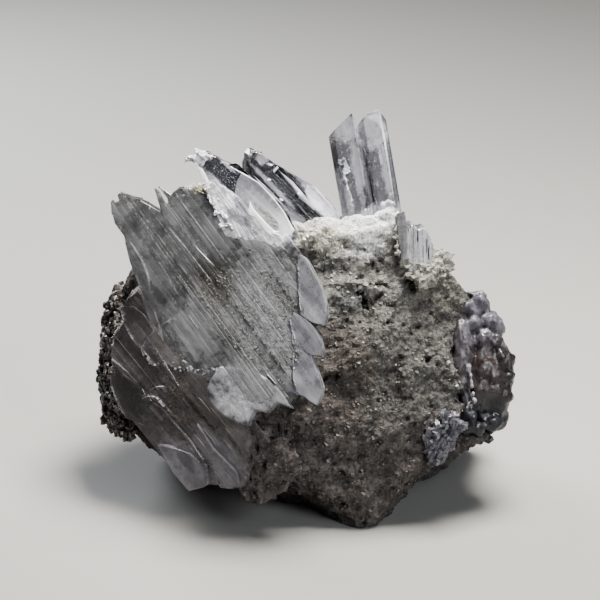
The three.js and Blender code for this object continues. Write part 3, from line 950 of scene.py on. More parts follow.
# The pale worn inner edges of the teeth, as lines of points.
TOOTH_EDGES = [
    [(5.9, 18.2), (9, 16.1), (12.8, 13.5)], [(13.2, 10.6), (15.8, 9.3), (17.8, 8)],
    [(18.7, 7.4), (21, 5.6), (23.5, 3.9), (25.2, 3.2)],
]
# Dark clay specks on the plate: (x, y, z, radius).
CLAY = [
    (-3.4, -0.5, 12.4, 0.34), (-8.8, -0.3, 8.6, 0.3), (7.6, -0.5, 6.4, 0.3), (12.4, -0.3, 9.6, 0.26),
    (4.6, -0.3, 11, 0.24), (-24.6, -0.9, 1.4, 0.26), (15.4, -0.5, 4.2, 0.24), (-23.4, -0.9, 0.6, 0.22),
]
plate_milky = selenite(
    "milky selenite of the front plate", PLATE,
    pale="#868789", dark="#525356", clear=0.8, smooth=0.1, dull=0.4, density=130, lined=0.4,
    milk_colour="#898a8e", least_clear=0.2,
    zones=[
        ((20, -1, -3), (9.5, 4, 5), 0.7),
        ((25, -1, 3), (6, 4, 6), 0.7),
        ((-27, -1, -4.5), (3.2, 3, 2.4), 0.4),
        ((3, -1, -7.4), (8, 3, 4.4), 0.85),
        ((-14, -1, -6), (8, 3, 4), 0.4),
        ((10, -1, 9), (13, 4, 11), 0.65),
        ((-14.6, -1, 4.4), (9, 4, 5), 0.45),
        ((-11, -1, 9), (5, 4, 4), 0.6),
    ],
    crumbly=[
        ((12, -1, 8), (15, 5, 12), 1),
        ((2, -1, 0), (9, 5, 5), 0.7),
        ((-1, -1, 14), (8, 5, 3), 0.8),
        ((18, -1, -6), (9, 5, 6), 0.4),
    ],
    stains=[((-3, -1, 2.6), (6.5, 4, 4.4), 0.6)], stain_colour="#3f3c33",
)
tooth_frosted = selenite(
    "frosted selenite of the saw-tooth edge", PLATE,
    pale="#c8c8cf", dark="#7e7f87", clear=0.55, smooth=0.25, dull=0.5, lined=0.6,
    crumbly=[((14, -1, 14), (5, 4, 4), 0.4)],
)
patch_frosted = selenite(
    "cloudy frosted selenite under the saw-tooth edge", PLATE, growth=(0.4, 1, 1),
    pale="#c6c6cc", dark="#56575c", clear=0.6, smooth=0.2, dull=0.5, lined=0.3, density=60,
    crumbly=[((18, -1, -7), (9, 5, 6), 0.6)],
)
ridge_frosted = selenite(
    "white frosted ridges", PLATE,
    pale="#dcdce0", dark="#b4b5ba", clear=0.3, smooth=0.15, dull=0.4, lined=0.3,
)
edge_frosted = selenite(
    "pale worn edges of the teeth", PLATE,
    pale="#c6c6cc", dark="#8f9096", clear=0.5, smooth=0.2, dull=0.5, lined=0.3,
)


def ridge(start, end, wide, front):
    """A thin raised ridge between two (x, z) places."""
    (x, z), (far_x, far_z) = start, end
    across = Vector((z - far_z, far_x - x)).normalized() * wide / 2
    outline = [
        (x + across.x * 0.3, z + across.y * 0.3), (far_x + across.x, far_z + across.y),
        (far_x - across.x * 0.3, far_z - across.y * 0.3), (x - across.x, z - across.y),
    ]
    return tablet(outline, front, front + 1.4, wear=0.08)


plate_body = united(
    [
        *strips(plate_heads, plate_tips, plate_fronts, seed=11),
        *[tablet(outline, front, back, wear=0.15) for outline, front, back in plate_blades],
        *growth_ridges(((-20, 2), (-5, 5)), plate_fronts, seed=12, count=34, longest=6),
        *growth_ridges(((8, 18), (-6, 6)), plate_fronts, seed=13, count=40, longest=5),
    ],
    hollows=[
        *[tablet(outline, front, back, wear=0) for outline, front, back in plate_gaps],
        *growth_gaps(((-20, 2), (-8, 6)), plate_fronts, seed=17, count=14, longest=5),
        *growth_gaps(((12, 20), (-9, 3)), plate_fronts, seed=18, count=6, longest=3),
    ],
)
plate_specks = specks(plate_body, [
    ((-14, 1.2, 0), (16, 1.2, 9), 30),
    ((6, 1.2, 0), (16, 1.2, 14), 30),
], seed=2, size=0.22)
front_plate = assembled("front_selenite_plate", [
    (plate_body, PLATE, plate_milky),
    (plate_specks, PLATE, white_specks),
])
hand_over(front_plate, "front_plate", lets_light_through=True)


def tooth(outline, outer, lean, front=-0.9):
    """A curved tip whose outer edge stands proud and whose inner edge dips under the plate."""
    bm = tablet(outline, front, 2.4, wear=0)
    grown_face(bm, (outer[0], front, outer[1]), (lean[0], -1, lean[1]))
    worn_edges(bm, 0.4, rounds=3)
    return bm


def broken_edge(points, wide, front, seed):
    """A worn edge: short, uneven ridges with gaps, along a line of (x, z) points."""
    dice = random.Random(seed)
    shapes = []
    for (x, z), (far_x, far_z) in zip(points, points[1:]):
        step = Vector((far_x - x, far_z - z))
        long = step.length
        at = 0
        while at < long:
            bit = dice.uniform(0.25, 1)
            stray = Vector((dice.uniform(-0.07, 0.07), dice.uniform(-0.07, 0.07)))
            start = Vector((x, z)) + step * at / long + stray
            end = Vector((x, z)) + step * min(1, (at + bit) / long) - stray
            shapes.append(ridge(start, end, wide * dice.uniform(0.5, 1.7), front))
            at += bit + dice.uniform(-0.1, 0.4)
    return shapes


tooth_body = united([tooth(*shape) for shape in TEETH[:2]])
low_tooth = mesh_of(tooth(*TEETH[2], front=-0.3))
patch_body = united(
    [tooth(CLOUDY_PATCH, (18, -8), (0.01, 0.03), front=-0.96)],
    hollows=growth_gaps(
        ((13, 24), (-11, -1)), [(-13, 1), (2, 1)], seed=98, count=7, longest=2.4, deep=0.6
    ),
)
rim_spots = scattered(PALE_RIM, y=0.1, count=46, radius=0.3, seed=99)
pale_bits = sugar_lumps(rim_spots, seed=99, voxel=0.14, rough=0.6)
tooth_lines = united([ridge(start, end, wide=0.14, front=-0.85) for start, end in TOOTH_RIDGES])
tooth_edges = united([
    shape
    for seed, points in enumerate(TOOTH_EDGES, start=5)
    for shape in broken_edge(points, wide=0.3, front=-0.86, seed=seed)
])
clay_specks = sugar_lumps(CLAY, seed=97, voxel=0.09, rough=0.1)
clay = fine_sugar("dark clay", "#14120f", "#3a352d")
pale_grains = fine_sugar("pale sugary grains", "#56565a", "#a4a4a9")
saw_teeth = assembled("saw_tooth_tips", [
    (tooth_body, PLATE, tooth_frosted),
    (low_tooth, PLATE, tooth_frosted),
    (patch_body, PLATE, patch_frosted),
    (pale_bits, PLATE, pale_grains),
    (tooth_lines, PLATE, ridge_frosted),
    (tooth_edges, PLATE, edge_frosted),
    (clay_specks, PLATE, clay),
])
hand_over(saw_teeth, "front_plate")

# %% [markdown]
# ## The lower plate
# Below it lies a second, darker plate of the same growth. It is clear with a brownish cast from
# the rock behind it, and its lowest blade is a whitish slab.

# %% Lower plate
lower_heads = [
    (-8.8, -8), (-7.8, -13.3), (-5.4, -17.5), (-3, -20.5), (1, -23.5), (4.1, -24), (5.1, -24.4),
    (6, -26.3), (9, -27), (11.6, -27),
]
lower_tips = [
    (-8.8, 9), (-8.2, 11), (-4.9, 12.6), (-1.5, 16.4), (2.2, 18.4), (5.4, 16), (8.5, 13), (11.6, 11),
]
lower_fronts = [
    (-8.8, -0.3), (-2.9, 0.1), (-2.7, 0.5), (1.4, 0.4), (1.6, 0.1), (5.6, 0.2), (5.8, 0.6), (11.6, 0.7),
]
# Single blades that stand out of the lower plate: outline, front and back.
lower_blades = [
    ([(-26.6, 6.6), (-26.2, 5.9), (-24.7, 5.1), (-22.5, 4.2), (-20.7, 3.7), (-18.6, 3.8), (-17.5, 6),
      (-18.5, 9), (-22, 9.6), (-25, 8.8)], -0.9, 1.6),
    ([(-17.8, -5), (-17.3, -5.9), (-15.6, -7), (-13.3, -8.1), (-11.1, -8.8), (-8.5, -8.9), (-5, -7),
      (-6, -3), (-11, -1.6), (-15.6, -2.8)], -0.9, 1.6),
    ([(-9.9, -3.1), (-9.7, -2), (-7.6, -2.1), (-5.8, -1.1), (1, -0.7), (3, -0.8), (2, -3.4),
      (-5, -4.6)], -1.04, 1.6),
    ([(-9.5, -2.6), (-6, -1.2), (2.8, -0.5), (8.5, -1), (12, -3.6), (5, -4.4), (-4, -4)], -1.0, 2),
    ([(0, -7.1), (1, -6), (2.8, -4.4), (5.9, -2.3), (7.7, -2.1), (9.9, -1.4), (13.1, -3.6),
      (12.9, -4.9), (11.4, -8.2), (6.3, -8.3)], -1.3, 2),
    ([(-26.2, 6), (-24.2, 5.2), (-21.5, 4.1), (-13, 4.4), (-6, 5.4), (-14, 6.6), (-22, 7)], -0.95, 2),
    ([(2, 3), (8, 2.2), (15, 3), (17.4, 1.6), (10, 0.6), (3, 1.6)], -0.8, 2),
    ([(-20, -3), (-16, -2), (-9, -1.6), (-5, -2.4), (-12, -4.2), (-17, -4.6)], -0.8, 2),
]
lower_smoky = selenite(
    "smoky selenite of the lower plate", LOWER,
    pale="#8b8789", dark="#4f4849", clear=0.82, smooth=0.06, dull=0.35, density=90,
    milk_colour="#95939a", least_clear=0.3,
    crumbly=[
        ((12, -1, 3), (12, 4, 4), 0.7),
        ((5, -1, 9), (12, 4, 3), 0.7),
        ((7, -1, -5), (8, 4, 4), 0.6),
    ],
    stains=[((5.9, -1, -4), (3.4, 4, 1.5), 0.6), ((-13, -1, -5.4), (6.4, 4, 3.6), 0.8)],
    stain_colour="#3b393d",
    zones=[
        ((7, -1, -5.4), (7.6, 4, 3.8), 1),
        ((9, -1, 2), (8, 4, 4), 0.6),
        ((14, -1, 0), (4, 4, 5), 0.7),
        ((-18, -1, -1), (5, 4, 2.6), 0.3),
        ((-20, -1, 6), (5, 4, 2.6), 0.3),
    ],
)
# Worn bright edges: each a line of points and how far forward it lies.
LOWER_EDGES = [
    ([(-26.2, 6.1), (-24.2, 5.1), (-22.5, 4.4), (-19.6, 3.9)], -1),
    ([(-17.4, -5.6), (-15.8, -6.9), (-13.3, -7.9), (-9.6, -8.8)], -1),
    ([(-9.7, -0.2), (-9.4, 1), (-8, 2.8)], -0.95),
    ([(-9.5, -3.1), (-9, -1.8), (-7.8, -0.4), (-5.2, -0.5)], -1.1),
    ([(0.1, -7), (1, -5.9), (2.8, -4.3), (5.9, -2.2), (7.7, -2), (9.9, -1.3)], -1.4),
]
# The milky drift that joins the lower plate to the front one.
DRIFT = [
    (-17.5, 14.3), (-18.4, 10.2), (-18.3, 7.1), (-17.4, 3.6), (-16.6, 3.3), (-15.4, 4), (-14.2, 3.2),
    (-13.1, 3.4), (-12.6, 5), (-12.1, 6.2), (-10.4, 6.6), (-8.9, 7.8), (-7.4, 9.9), (-6.4, 10.2),
    (-5, 11.6), (-5, 14), (-8, 16.5),
]
DRIFT_RIM = [
    (-17.6, 5), (-17.2, 3.6), (-15.4, 3), (-13, 3), (-12.2, 4.8), (-11, 6.2), (-8.8, 7.2), (-7, 9.4),
    (-7.6, 10), (-9.6, 8.4), (-12, 6.8), (-13.6, 4.6), (-16, 4.2),
]
lower_body = united(
    [
        *strips(lower_heads, lower_tips, lower_fronts, seed=21, narrow=0.6, wide=2.2, step=0.15),
        *[tablet(outline, front, back, wear=0.09) for outline, front, back in lower_blades],
        *growth_ridges(((-18, 8), (-4, 10)), lower_fronts, seed=22, count=14, longest=5),
    ],
    hollows=growth_gaps(((-14, 8), (-4, 8)), lower_fronts, seed=23, count=16, longest=6),
)
lower_lines = united([
    shape
    for seed, (points, front) in enumerate(LOWER_EDGES)
    for shape in broken_edge(points, wide=0.08, front=front, seed=seed)
])
drift_body = mesh_of(tablet(DRIFT, -0.62, 1.6, wear=0.2, rounds=2))
drift_spots = scattered(DRIFT_RIM, y=-0.5, count=60, radius=0.26, seed=24)
drift_bits = sugar_lumps(drift_spots, seed=24, voxel=0.14, rough=0.6)
drift_milky = selenite(
    "milky drift on the lower plate", LOWER, growth=(0.3, 1, 1),
    pale="#8f8c8c", dark="#514b49", clear=0.6, smooth=0.15, dull=0.5, density=90, lined=0.4,
    crumbly=[((-12, -1, 8), (9, 5, 8), 0.8)],
)
lower_white = selenite(
    "white worn edges of the lower plate", LOWER,
    pale="#a5a3a8", dark="#504e53", clear=0.45, smooth=0.12, dull=0.4, lined=0.3,
)
lower_specks = specks(lower_body, [((0, 1.2, 0), (18, 1.4, 9), 40)], seed=3, size=0.22)
lower_plate = assembled("lower_selenite_plate", [
    (lower_body, LOWER, lower_smoky),
    (lower_lines, LOWER, lower_white),
    (drift_body, LOWER, drift_milky),
    (drift_bits, LOWER, pale_grains),
    (lower_specks, LOWER, white_specks),
])
hand_over(lower_plate, "lower_plate", lets_light_through=True)

# %% [markdown]
# ## The two crest bundles
# Two bundles of blades lean out of the top edge. They are the brightest part: clear, dark
# streaks lie beside white, frosted faces. The front one ends in a rough white knob, and its
# broad face has a pit shaped like a lens, etched into it.

# %% Crest bundles
front_heads = [
    (-8.4, -4), (-6.6, -8), (-4.6, -9.4), (-3.9, -12.2), (-3.2, -13.8), (-2.2, -15), (-1.2, -15),
    (-0.2, -13.6), (1.2, -9), (2.6, -6),
]
front_tips = [(-8.4, 6), (-5, 9), (-2, 10.6), (0.9, 11), (1.9, 8), (2.6, 4.5)]
front_fronts = [(-8.4, -0.2), (-5, 0.2), (-4.8, 0.6), (-1.4, 0.8), (-1.2, 1), (2.6, 0.9)]
# The broad face, the pit etched into it, the pit's bright rim and the face's upper edge.
WHITE_FACE = [
    (-5.4, 2.1), (-1.3, 3), (3.3, 2.9), (7.1, 2.4), (10.9, 1.2), (11.2, 0.2), (9.9, -1.6), (8.8, -3),
    (6.5, -3.6), (2.7, -3.2), (0.9, -3), (-1.8, -2.7), (-3.2, -2.3), (-4.8, -0.1),
]
LENS_PIT = [
    (0.3, -1.4), (0.9, -0.7), (2.4, 0), (4.7, 0.25), (7.2, 0.15), (8.5, -0.6), (8.5, -1.8), (8.2, -2.6),
    (6.5, -3), (3.6, -2.7), (1.5, -2.2),
]
LENS_RIM = [
    (0.1, -0.9), (1.4, -1.5), (3.9, -1.6), (6.2, -1.7), (8.2, -1.6), (9, -0.9), (9.1, -2.6),
    (8.4, -3.1), (6.5, -3.4), (3.6, -3.2), (1.4, -2.7),
]
FACE_EDGE = [(-8, 1.2), (-1.3, 3), (3.3, 2.9), (7.1, 2.35), (10.9, 1.2)]
# Single blades that stand out of the front bundle: outline, front and back.
crest_blades = [
    ([(-12.6, -3.9), (-11.4, -3.4), (-8.6, -4.3), (-8.8, -5), (-10.2, -4.9)], -1.1, 1),
    ([(-9, 0.9), (-7.6, 2.6), (-3.6, 2.7), (-4, 1.8)], -1.1, 1),
    ([(-8.4, -6.6), (-3, -5.2), (3, -5.6), (7, -6.6), (2, -7.6), (-4, -7.8)], -0.5, 1.4),
    ([(-6.4, -4.6), (-1.6, -3.4), (5, -4.2), (1, -5.2)], -1.2, 1.4),
]
crest_frosted = selenite(
    "frosted selenite of the front crest", CREST_FRONT,
    pale="#e6e6ec", dark="#9a9ba6", clear=1.0, smooth=0.03, dull=0.22, density=600,
    milk_colour="#dfe0e6", least_clear=0.12,
    zones=[
        ((5, -1, -1), (7, 5, 2), 0.7),
        ((1, -1, -6.6), (9, 5, 2.2), 1),
        ((-6, -1, -4), (3.6, 5, 1.2), 0.85),
        ((-14.6, -1, -2), (1.7, 5, 2), 0.9),
        ((-9, -1, 0.9), (2.6, 4, 0.5), 0.5),
        ((-8.6, -1, -3.8), (3.4, 5, 1.3), 0.45),
    ],
)
face_frosted = selenite(
    "frosted broad face of the front crest", CREST_FRONT,
    pale="#b3b4b8", dark="#74757c", clear=0.35, smooth=0.18, dull=0.45, lined=0.45,
    zones=[((8.6, -1, -1), (4, 3, 4), 0.9)], milk_colour="#dfe0e6",
)
rim_white = selenite(
    "bright worn rim of the lens pit", CREST_FRONT,
    pale="#ffffff", dark="#d5d6dc", clear=0.15, smooth=0.1, dull=0.4, lined=0.3,
)
front_body = united(
    [
        *strips(front_heads, front_tips, front_fronts, seed=31, narrow=0.5, wide=1.2, step=0.12),
        *growth_ridges(((-8, 2), (-6, 0)), front_fronts, seed=34, count=12, longest=6),
        *[tablet(outline, front, back, wear=0.15) for outline, front, back in crest_blades],
    ],
    hollows=[
        *inner_veils((-11, 0, -4.4), (-2, 2.4, 1), seed=36, count=12, long=4),
        *growth_gaps(((-6, 4), (-7, -4)), front_fronts, seed=37, count=14, longest=4),
    ],
)
PIT_FLOOR = [(x * 1.04 - 0.2, z * 1.04 + 0.06) for x, z in LENS_PIT]
pit_floor = mesh_of(tablet(PIT_FLOOR, -1.02, -0.3, wear=0))
face_body = united(
    [tablet(WHITE_FACE, -1.45, -0.5, wear=0.12)], hollows=[tablet(LENS_PIT, -3, 1, wear=0)]
)
rim_body = united([
    tablet(LENS_RIM, -1.75, -0.6, wear=0.2),
    tablet(
        [(-12.8, -3.8), (-12.2, -3.3), (-9, -4.4), (-8.8, -4.9), (-10.4, -4.8)], -1.3, 0.4, wear=0.1,
    ),
    *[ridge(start, end, wide=0.22, front=-1.6) for start, end in zip(FACE_EDGE, FACE_EDGE[1:])],
])
# The glassy white mass at the foot of the crest, which lies over the front plate.
mass_heads = [
    (10.2, -10.3), (11.4, -15), (11.9, -18), (13.3, -20), (15.2, -19.8), (15.6, -17.2), (16.6, -14.3),
    (17.1, -8.6), (17.6, -4), (19, -2), (20.6, -0.6),
]
mass_tips = [
    (10.2, -8.2), (11, -7.2), (12.9, -5.4), (15.3, -3.2), (16.8, -0.6), (18, 0.8), (19.7, 1), (20.6, 0),
]
mass_fronts = [(10.2, 0.5), (11.4, 0.7), (13, 1), (15, 1.1), (17, 1.4), (20.6, 1)]
mass_lines = [
    ((-15.4, 15.6), (-10.2, 14.4)), ((-10.8, 13.2), (-6.6, 12.4)), ((-7.6, 14.8), (-5, 14.2)),
    ((-13.2, 16.2), (-9.6, 15.6)), ((-17, 12.8), (-12, 12)),
]
mass_body = united(
    [
        *strips(
            mass_heads, mass_tips, mass_fronts, seed=33, narrow=0.4, wide=1.1, step=0.5, thick=3.4,
            ragged=0.8,
        ),
        *[ridge(start, end, wide=0.2, front=-1.5) for start, end in mass_lines],
    ],
    hollows=growth_gaps(
        ((-18, -4), (11.2, 17)), mass_fronts, seed=41, count=30, longest=3, deep=2.4
    ),
)
mass_glassy = selenite(
    "glassy white foot of the crest", PLATE,
    pale="#d6d7dd", dark="#6e6f77", clear=0.65, smooth=0.05, dull=0.4, density=240,
    milk_colour="#dcdde2", least_clear=0.12,
    zones=[
        ((-16, -1, 14), (5, 4, 3), 0.7),
        ((-8, -1, 12.4), (4, 4, 2.4), 0.6),
        ((-2, -1, 18), (4, 4, 3), 0.5),
    ],
    crumbly=[
        ((-17.5, -1, 13.6), (4, 4, 3), 1),
        ((-10, -1, 11), (7, 4, 2), 1),
        ((-1, -1, 17), (5, 4, 3), 1),
    ],
)
rear_heads = [
    (-6.4, -8), (-5.6, -9.6), (-3.4, -10.8), (-2, -11.9), (-0.9, -12), (-0.3, -11), (0.1, -8.6),
    (1.6, -2.4), (3.1, 2),
]
rear_tips = [(-6.4, 7), (-3, 10), (0, 12), (1.6, 11.6), (2.4, 10), (3.1, 8)]
rear_fronts = [
    (-6.4, 0.1), (-5.4, 0.1), (-5.2, -0.6), (-4.9, -0.6), (-4.7, 0.3), (-1.9, 0.4), (-1.7, -0.3),
    (-1.4, -0.3), (-1.2, 0.8), (0.2, 0.8), (0.4, 0.3), (3.1, 0.2),
]
crest_clear = selenite(
    "clear selenite of the rear crest", CREST_REAR,
    pale="#e6e6ec", dark="#9a9ba6", clear=1.0, smooth=0.03, dull=0.15, density=620,
    milk_colour="#d3d4db", least_clear=0.15,
    zones=[
        ((5.4, -1, 1.9), (7, 5, 1.5), 0.8),
        ((-4, -1, -3.3), (7, 4, 0.6), 0.45),
        ((3, -1, -0.2), (5, 4, 0.6), 0.6),
        ((-10, -1, -1), (1.6, 4, 1), 0.5),
        ((4, 0, -5), (4, 5, 1.6), 0.5),
    ],
)
flank_white = selenite(
    "white flank of the rear crest", CREST_REAR,
    pale="#e2e3e8", dark="#92939c", clear=0.3, smooth=0.1, dull=0.35, lined=0.7,
)
flank_body = united([
    tablet([(0.4, 1.9), (2.2, 2.9), (5.3, 2.7), (9.4, 2.2), (8.8, 0), (6.7, -0.2), (3.7, -0.1),
            (1.4, 0.7)], -1.05, -0.2, wear=0.12),
    tablet([(-5.4, -0.1), (-2, 0.4), (1.4, 0), (-1.6, -0.3)], -0.95, -0.2, wear=0.08),
    tablet([(-9, -4.6), (-4, -4.3), (1, -4.5), (-3, -4.9)], -0.7, 0.2, wear=0.08),
])
rear_body = united(
    [
        *strips(
            rear_heads, rear_tips, rear_fronts, seed=32, narrow=0.35, wide=0.9, step=0.15, thick=5,
        ),
        *growth_ridges(((-7, 3), (-5.5, -0.4)), rear_fronts, seed=35, count=16, longest=7),
    ],
    hollows=[
        tablet([(-11, -5.5), (0.2, -5.6), (0.2, -5.1), (-11, -5.2)], -3, 2, wear=0),
        tablet([(-6, -1.8), (3.1, -0.9), (3.1, -0.5), (-6, -1.5)], -3, 1.6, wear=0),
        *inner_veils((-8, 0.6, -4.6), (6, 3.4, 0.6), seed=38, count=24, long=4),
        *growth_gaps(((-8, 4), (-5, 2)), rear_fronts, seed=39, count=12, longest=6),
    ],
)
front_specks = specks(front_body, [((-8, 0.8, -0.9), (5, 1.6, 2.6), 200)], seed=4, size=0.2)
rear_specks = specks(rear_body, [((-3, 1.2, -2.4), (9, 1.8, 3.4), 260)], seed=5, size=0.18)
# Sugary lumps on the knob, along the foot and on the faces: (x, y, z, radius).
front_lumps = sugar_lumps([
    (-14.8, 0.4, -1.7, 1.4), (-13.8, 0.2, -1.2, 1.3), (-13.4, 0.3, -2.4, 1.2), (-14.8, 0.5, -2.9, 1.3),
    (-15.6, 0.6, -3.7, 0.8), (-16, 0.8, -4.6, 0.6), (-12.6, 0, -0.7, 0.8),
    *[(-8.2 + 1.25 * i, 0.6, -6.2 - 1.2 * math.sin(0.9 * i) - 0.1 * i, 1.1) for i in range(10)],
    *[(-6.4 + 1.3 * i, 0.9, -8.2 - 0.9 * math.sin(1.3 * i), 1.1) for i in range(6)],
], seed=60, rough=0.6)
rear_lumps = sugar_lumps([
    (-8.1, -0.3, -0.6, 0.5), (-7.6, -0.3, -0.3, 0.4), (-6.4, -0.3, 0.2, 0.5), (-6.3, -0.4, -0.8, 0.4),
    (1.5, -0.6, -0.1, 0.5), (0.7, -0.6, -0.4, 0.4), (-5.7, 0, -3, 0.5), (-1.2, 0.1, -4, 0.5),
], seed=80, voxel=0.12, rough=0.5)
tip_lumps = sugar_lumps([
    (-12, 0, -1.9, 0.7), (-12.2, -0.1, -1.3, 0.7), (-11.8, -0.1, -0.7, 0.7), (-11.1, 0.2, -0.2, 0.6),
    (-11.9, 1, -1.6, 0.9), (-11.6, 1.2, -0.8, 0.9), (-12, 2, -1.4, 0.8),
], seed=82, voxel=0.15, rough=0.6)
pit_crumbs = sugar_lumps([
    (1.2 + 0.6 * i, -0.74, -0.72 - 0.45 * math.sin(1.7 * i) - 0.04 * i, 0.5) for i in range(12)
], seed=85, voxel=0.14, rough=0.6)
mass_lumps = sugar_lumps([
    (-19.4 + 0.9 * i, -0.3, 12.9 + 1.1 * math.sin(1.9 * i) - 0.14 * i, 0.8) for i in range(12)
], seed=87, rough=0.6)
grey_sugar = fine_sugar("grey sugary gypsum", "#3c3d40", "#a5a6a4")
crest_front = assembled("front_crest_bundle", [
    (front_body, CREST_FRONT, crest_frosted),
    (face_body, CREST_FRONT, face_frosted),
    (rim_body, CREST_FRONT, rim_white),
    (front_specks, CREST_FRONT, grey_specks),
    (mass_body, PLATE, mass_glassy),
])
crest_rear = assembled("rear_crest_bundle", [
    (rear_body, CREST_REAR, crest_clear),
    (flank_body, CREST_REAR, flank_white),
    (rear_specks, CREST_REAR, grey_specks),
])
crest_sugar = assembled("white_sugar_lumps", [
    (front_lumps, CREST_FRONT, snow),
    (rear_lumps, CREST_REAR, snow),
    (tip_lumps, CREST_REAR, grey_sugar),
    (mass_lumps, PLATE, snow),
    (pit_crumbs, CREST_FRONT, grey_sugar),
    (pit_floor, CREST_FRONT, grey_sugar),
])
hand_over(crest_front, "crest_front", lets_light_through=True)
hand_over(crest_rear, "crest_rear", lets_light_through=True)
hand_over(crest_sugar, None)

# %% [markdown]
# ## The rock
# The matrix is a lump of fine-grained gypsum with a little clay, broken on all sides. Its
# surface looks like coarse sugar. The imported solid has its faces and ledges, so the rock starts
# as a copy of it, is remeshed finely, and every point is then moved by a sum of reliefs: lumps,
# grit and small holes. Colour is painted on in soft named patches, some of them painted light and
# shade, and the holes, creases and pits are darkened with painted shade. It is then broken up by
# fine noise in the material.

# %% Rock shape
ROCK_VOXEL = 0.53
SAME_CORNER = 0.004


def merged_copy(node, name, additions=()):
    """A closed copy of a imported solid, with the extra shapes that its skin takes in."""
    bm = bmesh.new()
    bm.from_mesh(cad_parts[node].data)
    bmesh.ops.remove_doubles(bm, verts=bm.verts, dist=SAME_CORNER * MM)
    for mesh in additions:
        bm.from_mesh(mesh)
    return linked(name, mesh_of(bm, name))


def in_place(bm, place):
    """The mesh of a shape that is drawn in a crystal's frame, set in the object's own frame."""
    bm.transform(show_to_object @ place)
    return mesh_of(bm)


SHOW = Matrix.Identity(4)
# Lumps of crust along the rim: the frame they are placed in, place and radii.
RIM_LUMPS = [
    (PLATE, (-21.8, 1.4, 8.4), (1.5, 1.6, 1.4)),
    (PLATE, (-21, 1.4, 10.4), (1.5, 1.6, 1.5)),
    (PLATE, (-19.8, 1.6, 12.6), (1.6, 1.8, 1.7)),
    (PLATE, (-17.6, 1.6, 13.8), (2, 2, 1.6)),
    (CREST_FRONT, (-6.6, 1.4, -6.4), (1.6, 1.8, 1.5)),
    (CREST_FRONT, (-3, 1.6, -6.8), (2, 2, 1.6)),
    (LOWER, (18, 2.8, 9), (7, 2.6, 6)),
    (LOWER, (20, 2.8, 4), (4, 2.6, 5)),
    (WEDGE, (-1.4, -0.6, 51.2), (2.6, 2.4, 2.6)),
    (WEDGE, (1.6, -0.4, 51.6), (2.6, 2.4, 2.6)),
    (WEDGE, (3.8, 0.6, 53), (2.2, 2.2, 2.2)),
    (SHOW, (5, -5.6, 62.3), (5.6, 3.4, 2)),
    (SHOW, (-0.6, -6.4, 60.6), (3.6, 3, 2.2)),
    (SHOW, (12.6, -7, 62.2), (5.4, 2.6, 2.4)),
    (SHOW, (18, -6.8, 64), (3, 2.4, 2.2)),
    (SHOW, (33.2, -3, 47), (1.6, 1.6, 1.6)),
    (SHOW, (33.5, -1.4, 17.6), (3.2, 2.4, 2.4)),
    (SHOW, (37.4, 0.4, 18), (2.6, 2.2, 1.6)),
    (SHOW, (30.4, -2.8, 38.8), (2.3, 2, 4.6)),
    (SHOW, (31, -3.4, 31), (1.8, 2, 4)),
    (SHOW, (33.4, -1.6, 26.4), (1.6, 1.9, 2.6)),
]
additions = [
    in_place(lump(centre, radii, seed, rough=0.3, finer=3), place)
    for seed, (place, centre, radii) in enumerate(RIM_LUMPS)
]

# The smooth white cap under the right prism, in the show face.
SNOW_CAP = Vector((12.8, -8.4, 62.6))
SNOW_CAP_RADII = (7.6, 6, 4.2)
# Open pits in the front of the rock, sunk and darkened with painted shade: (x, z, radius) in the show
# face.
ROCK_PITS = [
    (21.1, 50.5, 0.9), (21.9, 49.7, 1), (22.8, 48.8, 0.8), (11, 48.1, 0.3), (11.9, 47.9, 0.3),
    (12.6, 47.1, 0.32), (12.7, 46.3, 0.36), (13, 45.4, 0.32), (17.5, 42.4, 0.4), (26, 34.6, 0.5),
]
# What lies in front of this depth is the face that one sees.
SHOWN_TO = -4
# The reliefs of the broken surface: how wide each one is, in millimetres.
SWELL_WIDE = 5
BREAK_WIDE = 11
CHUNK_WIDE = 2.6
GRIT_WIDE = 1.05
HOLE_WIDE = 1.5
POCKED_PATCH = 6
# How far each one rises, or how deep it goes.
SWELL_RISE = 0.45
BREAK_RISE = 0.8
CHUNK_RISE = 0.55
GRIT_RISE = 0.3
HOLE_DEEP = 2.2
PIT_DEEP = 1.5
PIT_SHADE = 0.36


def pit_share(point):
    """How far a point of the show face lies in one of the open pits, from 0 to 1."""
    if point.y > SHOWN_TO:
        return 0
    away = min(math.hypot(point.x - x, point.z - z) / radius for x, z, radius in ROCK_PITS)
    return clamped((1.3 - away) / 0.5)


def rock_relief(point):
    """How far the broken rock rises at a point of the show face, and how much painted shade darkens it
    there: in holes, creases and pits.
    """
    lumps = SWELL_RISE * noise.fractal(point / SWELL_WIDE, 1.0, 2.1, 3)
    broken = clamped((point.y - 4) / 8)
    facets = noise.fractal(point / BREAK_WIDE + Vector((2, 6, 4)), 1.0, 2.1, 3)
    lumps += broken * BREAK_RISE * facets
    chunks = CHUNK_RISE * (noise.turbulence(point / CHUNK_WIDE + Vector((3, 1, 2)), 3, False) - 0.5)
    grit = GRIT_RISE * noise.noise(point / GRIT_WIDE + Vector((5, 8, 1)))
    pocked = 0.38 + 0.3 * broken - 0.3 * noise.noise(point / POCKED_PATCH + Vector((1, 7, 3)))
    hole = max(0, noise.noise(point / HOLE_WIDE + Vector((9, 4, 2))) - pocked)
    calm = min(clamped((1.2 - from_centre(point, SNOW_CAP, SNOW_CAP_RADII)) / 0.4), 0.75)
    pit = pit_share(point)
    rise = lumps + (1 - calm) * (chunks + grit - HOLE_DEEP * hole) - PIT_DEEP * pit
    # The second value is painted shade for the holes, the creases between chunks and the pits.
    return rise, (1 - calm) * (hole + max(0, -0.35 * (chunks + grit))) + PIT_SHADE * pit


rock = merged_copy("matrix_rock", "sugary_gypsum_rock", additions)
remeshed(rock, ROCK_VOXEL * MM)
print("rock has", len(rock.data.polygons), "faces")

# %% Rock relief and colour
BASE_CLEARANCE = 0.5
